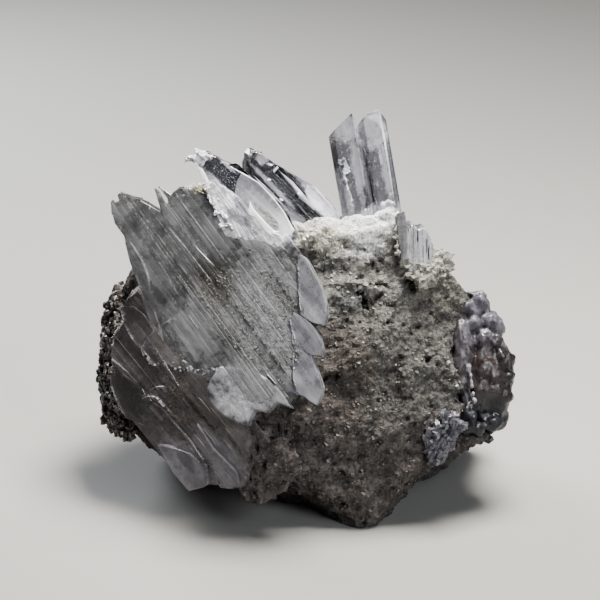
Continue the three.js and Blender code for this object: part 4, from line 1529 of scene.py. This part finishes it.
# Named patches of the rock: place in the show face, radii, colour and strength. The lit shoulder is
# painted light, and the shade beside the teeth and the left flank are painted shade.
ROCK_PATCHES = [
    ("brown foot", (4, -12, 4), (60, 60, 22), "#5d5754", 0.85),
    ("brown right foot", (24, -8, 12), (14, 30, 12), "#524d4b", 0.7),
    ("brown under the teeth", (5, -12, 27), (7, 14, 9), "#605955", 0.8),
    ("lit shoulder", (15, -12, 50), (18, 14, 9), "#74736f", 0.9),
    ("shade beside the teeth", (9, -12, 34), (7, 10, 11), "#524c48", 0.85),
    ("white crust left", (1, -8, 62), (8, 8, 4.6), "#b9babb", 1),
    ("white crust middle", (10, -9, 62.4), (9, 8, 5.2), "#c0c1c3", 1),
    ("white crust right", (17, -9, 64), (6, 8, 3.8), "#cccdd0", 1),
    ("white crust low", (11.6, -11, 59.4), (7.6, 8, 3.6), "#dedfdf", 1),
    ("shoulder crust", (25.6, -9, 53.6), (6, 8, 4.6), "#9b9a93", 0.9),
    ("white rim", (-16, -8, 69), (11, 12, 4.4), "#d8d9dc", 0.9),
    ("green rim", tuple(PLATE @ Vector((-19.8, 1.6, 12.6))), (2.2, 3, 2.4), "#8f8d68", 0.9),
    ("yellow crust", (3.6, -9, 60), (8, 7, 3.2), "#a8a697", 0.8),
    ("olive spot", (18.4, -11, 60), (2.6, 4, 2.2), "#77766c", 0.95),
    ("white spot", (9.5, -12, 46), (2.4, 5, 1.6), "#c4c4c2", 0.8),
    ("greenish right", (27, -8, 50), (7, 8, 7), "#777669", 0.35),
    ("pink under the plate", (-20, -8, 30), (12, 20, 12), "#5b4b46", 0.7),
    # Painted shade: the left flank is darkened beyond its own grey-brown.
    ("painted shade of the left flank", (-38, 6, 30), (12, 24, 30), "#2e2b29", 0.9),
    ("pale behind the plate", tuple(PLATE @ Vector((-12, 5, -1))), (9, 12, 12), "#a3a3a0", 0.8),
    ("brown back", (10, 46, 36), (20, 18, 12), "#57514a", 0.7),
    ("pale back", (-12, 30, 60), (18, 16, 9), "#84837f", 0.7),
    ("dark back foot", (0, 50, 22), (60, 22, 11), "#4b4744", 0.7),
    ("pale right side", (36, 20, 46), (12, 10, 9), "#7b7a76", 0.6),
    ("lavender rim", (37, 2, 33), (6, 7, 15), "#615e64", 0.7),
    ("dark stain", tuple(PLATE @ Vector((-2, 4, 2.4))), (5, 6, 4), "#34332b", 0.8),
]
ROCK_GREY = "#5d5c59"
# How far the edges of the patches wander, in millimetres, and over what distance.
WANDER = 2.6
WANDER_WIDE = 4.2
# The noise vectors that move these edges follow the clock unless they are given a seed, and the
# patches would then differ from run to run.
NOISE_SEED = 1
noise.seed_set(NOISE_SEED)


def rock_colour(point, hollow):
    """The colour of the rock at a point of the show face, darkened by painted shade in its hollows."""
    shade = rgb(ROCK_GREY)
    wander = point + WANDER * Vector(noise.noise_vector(point / WANDER_WIDE))
    for _, centre, radii, code, strength in ROCK_PATCHES:
        share = strength * clamped((1.15 - from_centre(wander, centre, radii)) / 0.5)
        shade = shade.lerp(rgb(code), share)
    # Painted shade: the hollows and pits are darkened.
    return shade * max(0.15, 1 - 2.4 * hollow)


def keep_in_box(mesh, margin=2.5 * MM):
    """Squeezes the outer few millimetres of a mesh so that its bumps end inside the CAD box."""
    places = np.empty(3 * len(mesh.vertices))
    mesh.vertices.foreach_get("co", places)
    places = places.reshape(-1, 3)
    for axis in range(3):
        for sign, limit in ((-1, cad_low[axis]), (1, cad_high[axis])):
            start = sign * limit - margin
            out = sign * places[:, axis] - start
            if out.max() > margin and (axis, sign) != (2, -1):
                out = np.where(out > 0, out * margin / out.max(), out)
                places[:, axis] = sign * (start + out)
    inside = np.clip(places, np.array(cad_low), np.array(cad_high))
    mesh.vertices.foreach_set("co", inside.ravel())


def roughened(piece, relief, colour, clearance):
    """Moves every point of a piece along its normal by a relief and paints its colour, with the painted
    shade that the relief gives.
    """
    mesh = piece.data
    normals = [vertex.normal.copy() for vertex in mesh.vertices]
    paint = mesh.attributes.new("tint", "FLOAT_COLOR", "POINT")
    for vertex, normal, dab in zip(mesh.vertices, normals, paint.data):
        point = object_to_show @ vertex.co
        rise, hollow = relief(point)
        dab.color = (*colour(point, hollow), 1)
        if vertex.co.z > clearance * MM:
            vertex.co += normal * rise * MM
    keep_in_box(mesh)


roughened(rock, rock_relief, rock_colour, BASE_CLEARANCE)
print("rock relief done")

# %% Rock material
ROCK_GRAIN = 0.62
GLINT_GRAIN = 0.6
GRAIN_HEIGHT = 0.5


def sugary_gypsum(name, gloss=0.25):
    """Fine-grained gypsum rock, broken: dull, with the glint of single grains."""
    material, tree = new_material(name)
    here = add(tree, "TexCoord").outputs["Object"]
    tint = add(tree, "Attribute", attribute_name="tint").outputs["Color"]
    glints = add(tree, "TexVoronoi", {
        "Vector": here, "Scale": 1 / (GLINT_GRAIN * MM),
    }, feature="F1").outputs["Color"]
    fine = add(tree, "TexNoise", {
        "Vector": here, "Scale": 1 / (ROCK_GRAIN * MM), "Detail": 6, "Roughness": 0.68,
    }).outputs[0]
    change = add(tree, "MapRange", {
        "Value": fine, "From Min": 0.36, "From Max": 0.66, "To Min": 0.42, "To Max": 1.58,
    }).outputs[0]
    shade = add(tree, "Mix", {0: 1.0, 6: tint, 7: change}, data_type="RGBA", blend_type="MULTIPLY")
    sparkle = add(tree, "SeparateColor", {"Color": glints}).outputs[0]
    shine = add(tree, "MapRange", {
        "Value": sparkle, "From Min": 0.8, "From Max": 1, "To Min": 0.85, "To Max": gloss,
    }).outputs[0]
    relief = add(tree, "Bump", {
        "Height": fine, "Distance": GRAIN_HEIGHT * MM, "Strength": 0.9,
    }).outputs[0]
    surface = add(tree, "BsdfPrincipled", {
        "Base Color": shade.outputs[2],
        "Roughness": shine,
        "Normal": relief,
        "IOR": SELENITE_IOR,
    })
    add(tree, "OutputMaterial", {"Surface": surface.outputs[0]})
    return material


rock.data.materials.append(sugary_gypsum("sugary gypsum rock"))
hand_over(rock, "matrix_rock")

# %% [markdown]
# ## Loose-looking grains
# Single grains stand out of the broken surface like coarse sugar. One blocky grain is shaped
# once and set at about ten thousand places on the rock, partly sunk, in random turns and sizes.
# Finer ones cling to the right half of the front plate.

# %% Grains


def spots_on(mesh, count, seed, wanted):
    """Random places on a mesh with their normals, kept where wanted says so."""
    dice = random.Random(seed)
    areas = np.zeros(len(mesh.polygons))
    mesh.polygons.foreach_get("area", areas)
    picks = np.random.default_rng(seed).choice(len(areas), size=count, p=areas / areas.sum())
    spots = []
    for index in picks:
        face = mesh.polygons[index]
        if dice.random() < wanted(object_to_show @ face.center):
            spots.append((face.center.copy(), face.normal.copy()))
    return spots


def grain_shape():
    """A blocky grain with one cut corner, one millimetre across."""
    bm = block((-0.5, -0.5, -0.5), (0.5, 0.5, 0.5))
    grown_face(bm, (0.24, 0.24, 0.24), (1, 0.8, 1))
    return mesh_of(bm)


def turned(dice):
    """A random turn."""
    angles = [dice.uniform(0, math.tau) for _ in range(3)]
    return (
        Matrix.Rotation(angles[0], 4, "X")
        @ Matrix.Rotation(angles[1], 4, "Y")
        @ Matrix.Rotation(angles[2], 4, "Z")
    )


def grain_places(spots, seed, small, large, sunk):
    """Grains set on spots, sunk by a share of their size, in the object's frame."""
    dice = random.Random(seed)
    places = []
    for spot, normal in spots:
        size = small + (large - small) * dice.random() ** 3
        grow = Matrix.Diagonal([MM * size * dice.uniform(0.6, 1.4) for _ in range(3)] + [1])
        seat_at = Matrix.Translation(spot - normal * size * sunk * MM)
        places.append(seat_at @ turned(dice) @ grow)
    return places


GRAIN_COUNT = 10500
LOWEST_GRAIN = 0.8


def open_rock(point):
    """How many grains the rock bears: none on its base or in its pits, few on the snow cap."""
    height = (show_to_object @ point).z
    if height < LOWEST_GRAIN * MM or pit_share(point):
        return 0
    return 0.2 if from_centre(point, SNOW_CAP, SNOW_CAP_RADII) < 1.1 else 1


grain_spots = spots_on(rock.data, GRAIN_COUNT, seed=41, wanted=open_rock)


def sugar_on_plate(count, seed):
    """Grains that stuck to the right half of the front plate, in ragged drifts."""
    dice = random.Random(seed)
    outward = (show_to_object @ PLATE).to_3x3() @ Vector((0, -1, 0))
    spots = []
    while len(spots) < count:
        x = dice.uniform(-4, 23)
        z = dice.uniform(-2, 19)
        drift = noise.fractal(Vector((x, seed, z)) / 5, 1.0, 2.0, 4)
        if drift + dice.uniform(-1, 1) > -0.1 and x > 0.9 * z - 9 and x < 26 - 0.7 * z:
            spot = PLATE @ Vector((x, 0.1 - on_line(plate_fronts, z), z))
            spots.append((show_to_object @ spot, outward.normalized()))
    return spots


plate_spots = sugar_on_plate(count=1800, seed=43)
plate_sugar = linked("sugar_on_front_plate", joined_copies(
    grain_shape(), grain_places(plate_spots, seed=44, small=0.2, large=0.42, sunk=0.45)
))
plate_sugar.data.materials.append(speck_material("fine sugary gypsum on the plate", "#8f8f8c", 0.3))
hand_over(plate_sugar, None)
grain_mesh = joined_copies(
    grain_shape(), grain_places(grain_spots, seed=42, small=0.3, large=0.75, sunk=0.2)
)
print(len(grain_spots), "grains")


def grain_material(name, dark, pale):
    """Single gypsum grains: small cleaved blocks, glassy to sugary."""
    material, tree = new_material(name)
    shade = add(tree, "Attribute", attribute_name="shade").outputs["Fac"]
    tint = add(tree, "Attribute", attribute_name="tint").outputs["Color"]
    change = add(tree, "MapRange", {"Value": shade, "To Min": dark, "To Max": pale}).outputs[0]
    tone = add(tree, "Mix", {0: 1.0, 6: tint, 7: change}, data_type="RGBA", blend_type="MULTIPLY")
    surface = add(tree, "BsdfPrincipled", {
        "Base Color": tone.outputs[2],
        "Roughness": 0.45,
        "IOR": SELENITE_IOR,
    })
    add(tree, "OutputMaterial", {"Surface": surface.outputs[0]})
    return material


def painted(mesh, corners, points):
    """Gives each copy in a joined mesh the rock's colour at its place."""
    paint = mesh.attributes.new("tint", "FLOAT_COLOR", "POINT")
    colours = []
    for point in points:
        colours.extend([*rock_colour(object_to_show @ point, hollow=0), 1] * corners)
    paint.data.foreach_set("color", colours)


painted(grain_mesh, len(grain_shape().vertices), [spot for spot, _ in grain_spots])
keep_in_box(grain_mesh)
grains = linked("gypsum_grains", grain_mesh)
grain_mesh.materials.append(grain_material("cleaved gypsum grains", dark=0.5, pale=1.5))
hand_over(grains, None)

# %% [markdown]
# ## The rounded growths and druses
# On the right side grew glossy, rounded lobes, and on the left and low down crusts of small
# crystals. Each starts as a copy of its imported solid. The lobes are remeshed and swollen into
# knobs, and the druses get many small pointed crystals.

# %% Right lobes
LOBE_VOXEL = 0.32
BEAD_RADII = (0.55, 0.6, 0.55)
BEAD_DEPTH = -5
# The pale colour of the beads is a painted glint.
BEAD_GLINT_PALE = "#a3a1a8"
LAVENDER = "#64626b"
# The reliefs of the lobes: how wide each one is, in millimetres.
KNOB_WIDE = 2.6
PIMPLE_WIDE = 1.15
BULGE_WIDE = 4
# How far the edges of their colours wander, and over what distance.
LOBE_WANDER = 2.5
LOBE_WANDER_WIDE = 3
# The row of small beads down the middle of the lobes, painted pale as glints: (x, z).
BEADS = [(34.5, 33), (34.9, 31.2), (35.2, 28.9), (35.4, 27.4), (35.7, 26), (34.6, 32.1), (35, 30)]


def lobe_body(point):
    """How far a point of the show face belongs to the smooth pinkish middle of the lobes."""
    return clamped(1.35 - abs(point.z - 31.6) / 7) * clamped(1.5 - abs(point.x - 38) / 4.5)


def lobe_relief(point):
    """How far the knobs on the lobes rise at a point, and how much painted shade lies between them;
    below nought, on the knob tops, it is a painted highlight.
    """
    large = noise.voronoi(point / KNOB_WIDE)[0][0]
    small = noise.voronoi(point / PIMPLE_WIDE + Vector((4, 2, 7)))[0][0]
    bulge = noise.fractal(point / BULGE_WIDE, 1.0, 2.1, 3)
    calm = max(clamped((34.4 - point.x) / 1.5), lobe_body(point))
    rise = (1 - 0.6 * calm) * (0.7 * (0.45 - large) + 0.3 * (0.4 - small)) + 0.3 * bulge
    return rise, (1 - 0.7 * calm) * (0.6 * (large - 0.45) + 0.5 * (small - 0.45))


def lobe_colour(point, hollow):
    """Lavender above, pinkish brown in the middle and dark blue-grey at the foot, that tint darkened by
    painted shade; painted shade between the knobs, painted highlight on their tops and on the beads.
    """
    wander = point + LOBE_WANDER * Vector(noise.noise_vector(point / LOBE_WANDER_WIDE))
    column = clamped((34 - wander.x) / 1.5)
    shade = rgb(LAVENDER)
    for code, share in (
        ("#332a27", 0.95 * lobe_body(wander)),
        ("#262221", 0.9 * (clamped((wander.x - 39.4) / 3) * clamped((40 - wander.z) / 3))),
        ("#58565a", 0.8 * column),
        ("#4b4745", column * clamped((33 - wander.z) / 3)),
        # The foot has a blue-grey tint of its own, darkened further as painted shade.
        ("#2a2c32", clamped((28 - wander.z) / 5)),
    ):
        shade = shade.lerp(rgb(code), share)
    # Painted shade between the knobs and painted highlight on their tops.
    shade = shade * min(max(0.35, 1 - 1.5 * hollow), 1.5)
    # Painted highlight: the beads are painted pale as glints.
    near = min(math.hypot(point.x - x, point.z - z) for x, z in BEADS)
    bead = clamped((0.75 - near) / 0.3) if point.y < SHOWN_TO else 0
    return shade.lerp(rgb(BEAD_GLINT_PALE), bead)


# Knobs and columns added to the lobes: place in the show face and radii.
LOBE_KNOBS = [
    ((37, -1.8, 47), (1.9, 1.8, 1.8)),
    ((39.3, -0.8, 42.6), (1.9, 1.8, 1.7)),
    ((35.2, -2, 42), (2.4, 2, 2)),
    ((34.2, -2.4, 45.6), (1.5, 1.6, 1.6)),
    ((37.4, -1.6, 38.6), (2.6, 2, 2.4)),
    ((32.8, -3.9, 39.6), (1.5, 1.9, 3.4)),
    ((32.6, -4, 34.6), (1.4, 1.8, 4.4)),
    ((33.2, -3.4, 29.8), (1.4, 1.7, 3)),
    ((34, -2.9, 26.2), (1.3, 1.6, 2)),
    ((34.9, -3.8, 22.8), (1.5, 1.7, 3)),
    ((36.4, -2.6, 20), (1.8, 1.8, 1.6)),
    ((39.6, -0.8, 21.2), (2.6, 2, 1.8)),
    ((42.6, -0.4, 27), (1.6, 2.4, 2)),
    ((43, -0.2, 31), (1.7, 2.2, 1.8)),
    ((41.6, -1, 35), (1.7, 2.2, 2)),
    ((40.4, -1.4, 38.4), (1.6, 2, 1.7)),
    ((40.6, -0.7, 33.4), (3, 1.9, 4.6)),
    ((40.8, -0.5, 27.4), (2.8, 1.9, 3.8)),
    ((37.6, -1.9, 31), (3, 2.2, 5.6)),
]
knob_meshes = [
    in_place(lump(centre, radii, 20 + seed, rough=0.2, finer=3), SHOW)
    for seed, (centre, radii) in enumerate(LOBE_KNOBS)
]
for i, (x, z) in enumerate(BEADS):
    knob_meshes.append(in_place(lump((x, BEAD_DEPTH, z), BEAD_RADII, i, rough=0.1), SHOW))
lobes = merged_copy("right_lobes", "glossy_gypsum_lobes", knob_meshes)
remeshed(lobes, LOBE_VOXEL * MM)
roughened(lobes, lobe_relief, lobe_colour, 0)
for polygon in lobes.data.polygons:
    polygon.use_smooth = True


LOBE_GRAIN = 0.9
LOBE_GRAIN_HEIGHT = 0.12


def glossy_gypsum(name):
    """Rounded gypsum with a wet-looking skin and light that sinks in a little way."""
    material, tree = new_material(name)
    here = add(tree, "TexCoord").outputs["Object"]
    tint = add(tree, "Attribute", attribute_name="tint").outputs["Color"]
    fine = add(tree, "TexNoise", {
        "Vector": here, "Scale": 1 / (LOBE_GRAIN * MM), "Detail": 5, "Roughness": 0.6,
    }).outputs[0]
    change = add(tree, "MapRange", {
        "Value": fine, "From Min": 0.3, "From Max": 0.7, "To Min": 0.7, "To Max": 1.4,
    }).outputs[0]
    shade = add(tree, "Mix", {0: 1.0, 6: tint, 7: change}, data_type="RGBA", blend_type="MULTIPLY")
    relief = add(tree, "Bump", {
        "Height": fine, "Distance": LOBE_GRAIN_HEIGHT * MM, "Strength": 0.4,
    }).outputs[0]
    gloss = add(tree, "MapRange", {
        "Value": fine, "From Min": 0.4, "From Max": 0.7, "To Min": 0.24, "To Max": 0.6,
    }).outputs[0]
    surface = add(tree, "BsdfPrincipled", {
        "Base Color": shade.outputs[2],
        "Roughness": gloss,
        "Normal": relief,
        "IOR": SELENITE_IOR,
        "Transmission Weight": 0.3,
    })
    add(tree, "OutputMaterial", {"Surface": surface.outputs[0]})
    return material


lobes.data.materials.append(glossy_gypsum("glossy lavender gypsum"))
hand_over(lobes, "right_lobes")

# %% Druses


def spike_shape(stout=1.0):
    """A small druse crystal one millimetre long: a flat prism with a chisel tip."""
    bm = block((-0.22 * stout, -0.13 * stout, -0.3), (0.22 * stout, 0.13 * stout, 1))
    grown_face(bm, (0.22 * stout, 0, 0.62), (1, -0.3, 0.75))
    grown_face(bm, (-0.22 * stout, 0, 0.8), (-1, 0.3, 1))
    for sign in (-1, 1):
        grown_face(bm, (sign * 0.16 * stout, -0.13 * stout, 0), (sign, -0.9, 0))
        grown_face(bm, (sign * 0.16 * stout, 0.13 * stout, 0), (sign, 0.9, 0))
    return mesh_of(bm)


def spike_places(spots, seed, small, large, splay, lean):
    """Druse crystals that stand out from the surface, splayed at random, with a common lean."""
    dice = random.Random(seed)
    places = []
    for spot, normal in spots:
        stray = Vector([dice.uniform(-1, 1) for _ in range(3)]) * splay + Vector(lean)
        stand = (normal + stray).to_track_quat("Z", "Y").to_matrix().to_4x4()
        size = MM * dice.uniform(small, large)
        wide = size * dice.uniform(0.8, 1.6)
        thick = size * dice.uniform(0.8, 1.4)
        grow = Matrix.Diagonal((wide, thick, size, 1))
        turn = Matrix.Rotation(dice.uniform(0, math.tau), 4, "Z")
        places.append(Matrix.Translation(spot) @ stand @ turn @ grow)
    return places


DRUSE_VOXEL = 0.5


def druse(node, name, material, seed, count, small, large, splay, stout, lean, shade):
    """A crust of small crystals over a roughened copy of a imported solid."""
    bed = merged_copy(node, name)
    remeshed(bed, DRUSE_VOXEL * MM)
    roughened(bed, rock_relief, lambda point, hollow: rgb(shade), 0)
    spots = spots_on(bed.data, count, seed, lambda point: 1)
    spikes = joined_copies(
        spike_shape(stout), spike_places(spots, seed, small, large, splay, lean)
    )
    bed_mesh = bed.data
    bpy.data.objects.remove(bed)
    bed_mesh.transform(object_to_show)
    spikes.transform(object_to_show)
    piece = assembled(name, [
        (bed_mesh, SHOW, sugary_gypsum("sugary bed of the " + name, gloss=0.4)),
        (spikes, SHOW, material),
    ])
    keep_in_box(piece.data)
    hand_over(piece, node)


# The small crystals of the left flank are grey-brown, coloured darker than that as painted shade.
dusty_shaded_crystals = selenite(
    "dusty druse of small gypsum crystals", SHOW,
    pale="#65605d", dark="#37322f", clear=0.15, smooth=0.25, dull=0.65,
)
blue_crystals = selenite(
    "blue-white druse", SHOW,
    pale="#95959d", dark="#67676f", clear=0.4, smooth=0.15, dull=0.4,
)
# The dark bed of the left flank druse is partly painted shade.
druse(
    "left_flank_druse", "dusty_shaded_flank_druse", dusty_shaded_crystals, seed=51,
    count=1900, small=0.5, large=1.4, splay=0.6, stout=2, lean=(0, 0, 0.1), shade="#37322f",
)
druse(
    "low_crystal_patch", "blue_white_druse", blue_crystals, seed=52,
    count=460, small=1.0, large=2.4, splay=0.25, stout=1.1, lean=(0.6, 0, 1.2), shade="#5c5b63",
)

# %% [markdown]
# ## The right shoulder
# A short wedge of crystal with upright lines stands on the right shoulder. A thin blade closes
# the seam on its left, and cream-coloured nubs of sugar lie round its foot.

# %% Wedge and nubs
wedge_heads = [(-3, 53), (-1.6, 52.4), (-0.6, 53.2), (0.8, 52.6), (2, 54), (3, 53)]
wedge_tops = [(-3, 60.6), (-2, 62.6), (-1.2, 62.3), (-0.6, 61.6), (1, 61.8), (1.6, 60.8), (3, 57.6)]
wedge_fronts = [(-3, 1.4), (-1.6, 1.9), (1.6, 1.8), (3, 1.1)]
UPRIGHT = Matrix.Rotation(math.radians(-90), 4, "Y")
wedge_frosted = selenite(
    "striated selenite of the shoulder", WEDGE, growth=ALONG_Z,
    pale="#c3c3c7", dark="#6b6c72", clear=0.7, smooth=0.06, dull=0.4, density=240, lined=0.8,
    zones=[((0.8, 0, 57), (1.6, 5, 6), 0.6), ((-2.6, 0, 58), (0.7, 5, 5), 0.7)],
    milk_colour="#bfc0c4",
    crumbly=[((0, 0, 53.4), (5, 5, 2.4), 1)],
)
# Nubs of sugar in the show face: (x, y, z, radius).
NUBS = [
    (26.6, -7.8, 55.6, 1.7), (28.9, -6.2, 56.2, 1.7), (30.2, -5.8, 55.2, 1.5), (28, -6.6, 54.2, 1.9),
    (29.6, -6, 57, 0.9), (27.4, -7, 57, 0.8), (31, -5.6, 56.2, 0.8), (30.4, -5.6, 53.8, 1.4),
    (21.6, -9.4, 54.4, 1.7), (23.4, -9.2, 53.6, 1.8), (25.2, -8.8, 53.4, 1.8), (26.8, -8, 53.4, 1.7),
    (19.6, -10.8, 56.4, 0.9), (19.4, -10.8, 58, 0.8), (19.3, -10.8, 59.6, 0.8),
    (19.2, -10.7, 61.2, 0.8), (19.2, -10.6, 62.6, 0.7), (19.2, -10.4, 63.8, 0.6),
    (20.8, -10, 54.6, 1.3),
]
nub_mesh = sugar_lumps(NUBS, seed=90, voxel=0.3, rough=0.55)
cream_sugar = fine_sugar("cream sugary gypsum", "#5c5b55", "#a9a8a1")
SEAM_BLADE = [(19.3, 64.8), (20.9, 65.2), (21.9, 60), (22, 55.4), (20.2, 55), (19.5, 60)]
seam_blade = mesh_of(tablet(SEAM_BLADE, -11.2, -8.4, wear=0.15))
wedge_body = united(
    strips(
        wedge_heads, wedge_tops, wedge_fronts, seed=71, narrow=0.25, wide=0.8, step=0.5, thick=3.4,
    ),
    hollows=growth_gaps(
        ((53, 61), (-2.6, 2.4)), wedge_fronts, seed=72, count=6, longest=5, deep=1.2
    ),
)
# The strips were made lying down. They are stood up and mirrored, and the mirror turns them
# inside out, so their faces are turned back.
wedge_body.transform(Matrix.Scale(-1, 4, (1, 0, 0)) @ UPRIGHT)
wedge_body.flip_normals()
side_prisms = assembled("shoulder_wedge", [
    (seam_blade, SHOW, wedge_frosted),
    (wedge_body, WEDGE, wedge_frosted),
    (nub_mesh, SHOW, cream_sugar),
])
hand_over(side_prisms, "side_prisms")

# %% [markdown]
# The rock, its grains and the druses are squeezed to stay inside the box of the imported solids. The
# last cell sets how colours are shown.

# %% Colour view
view = bpy.context.scene.view_settings
view.view_transform = "AgX"
view.look = "AgX - Medium High Contrast"
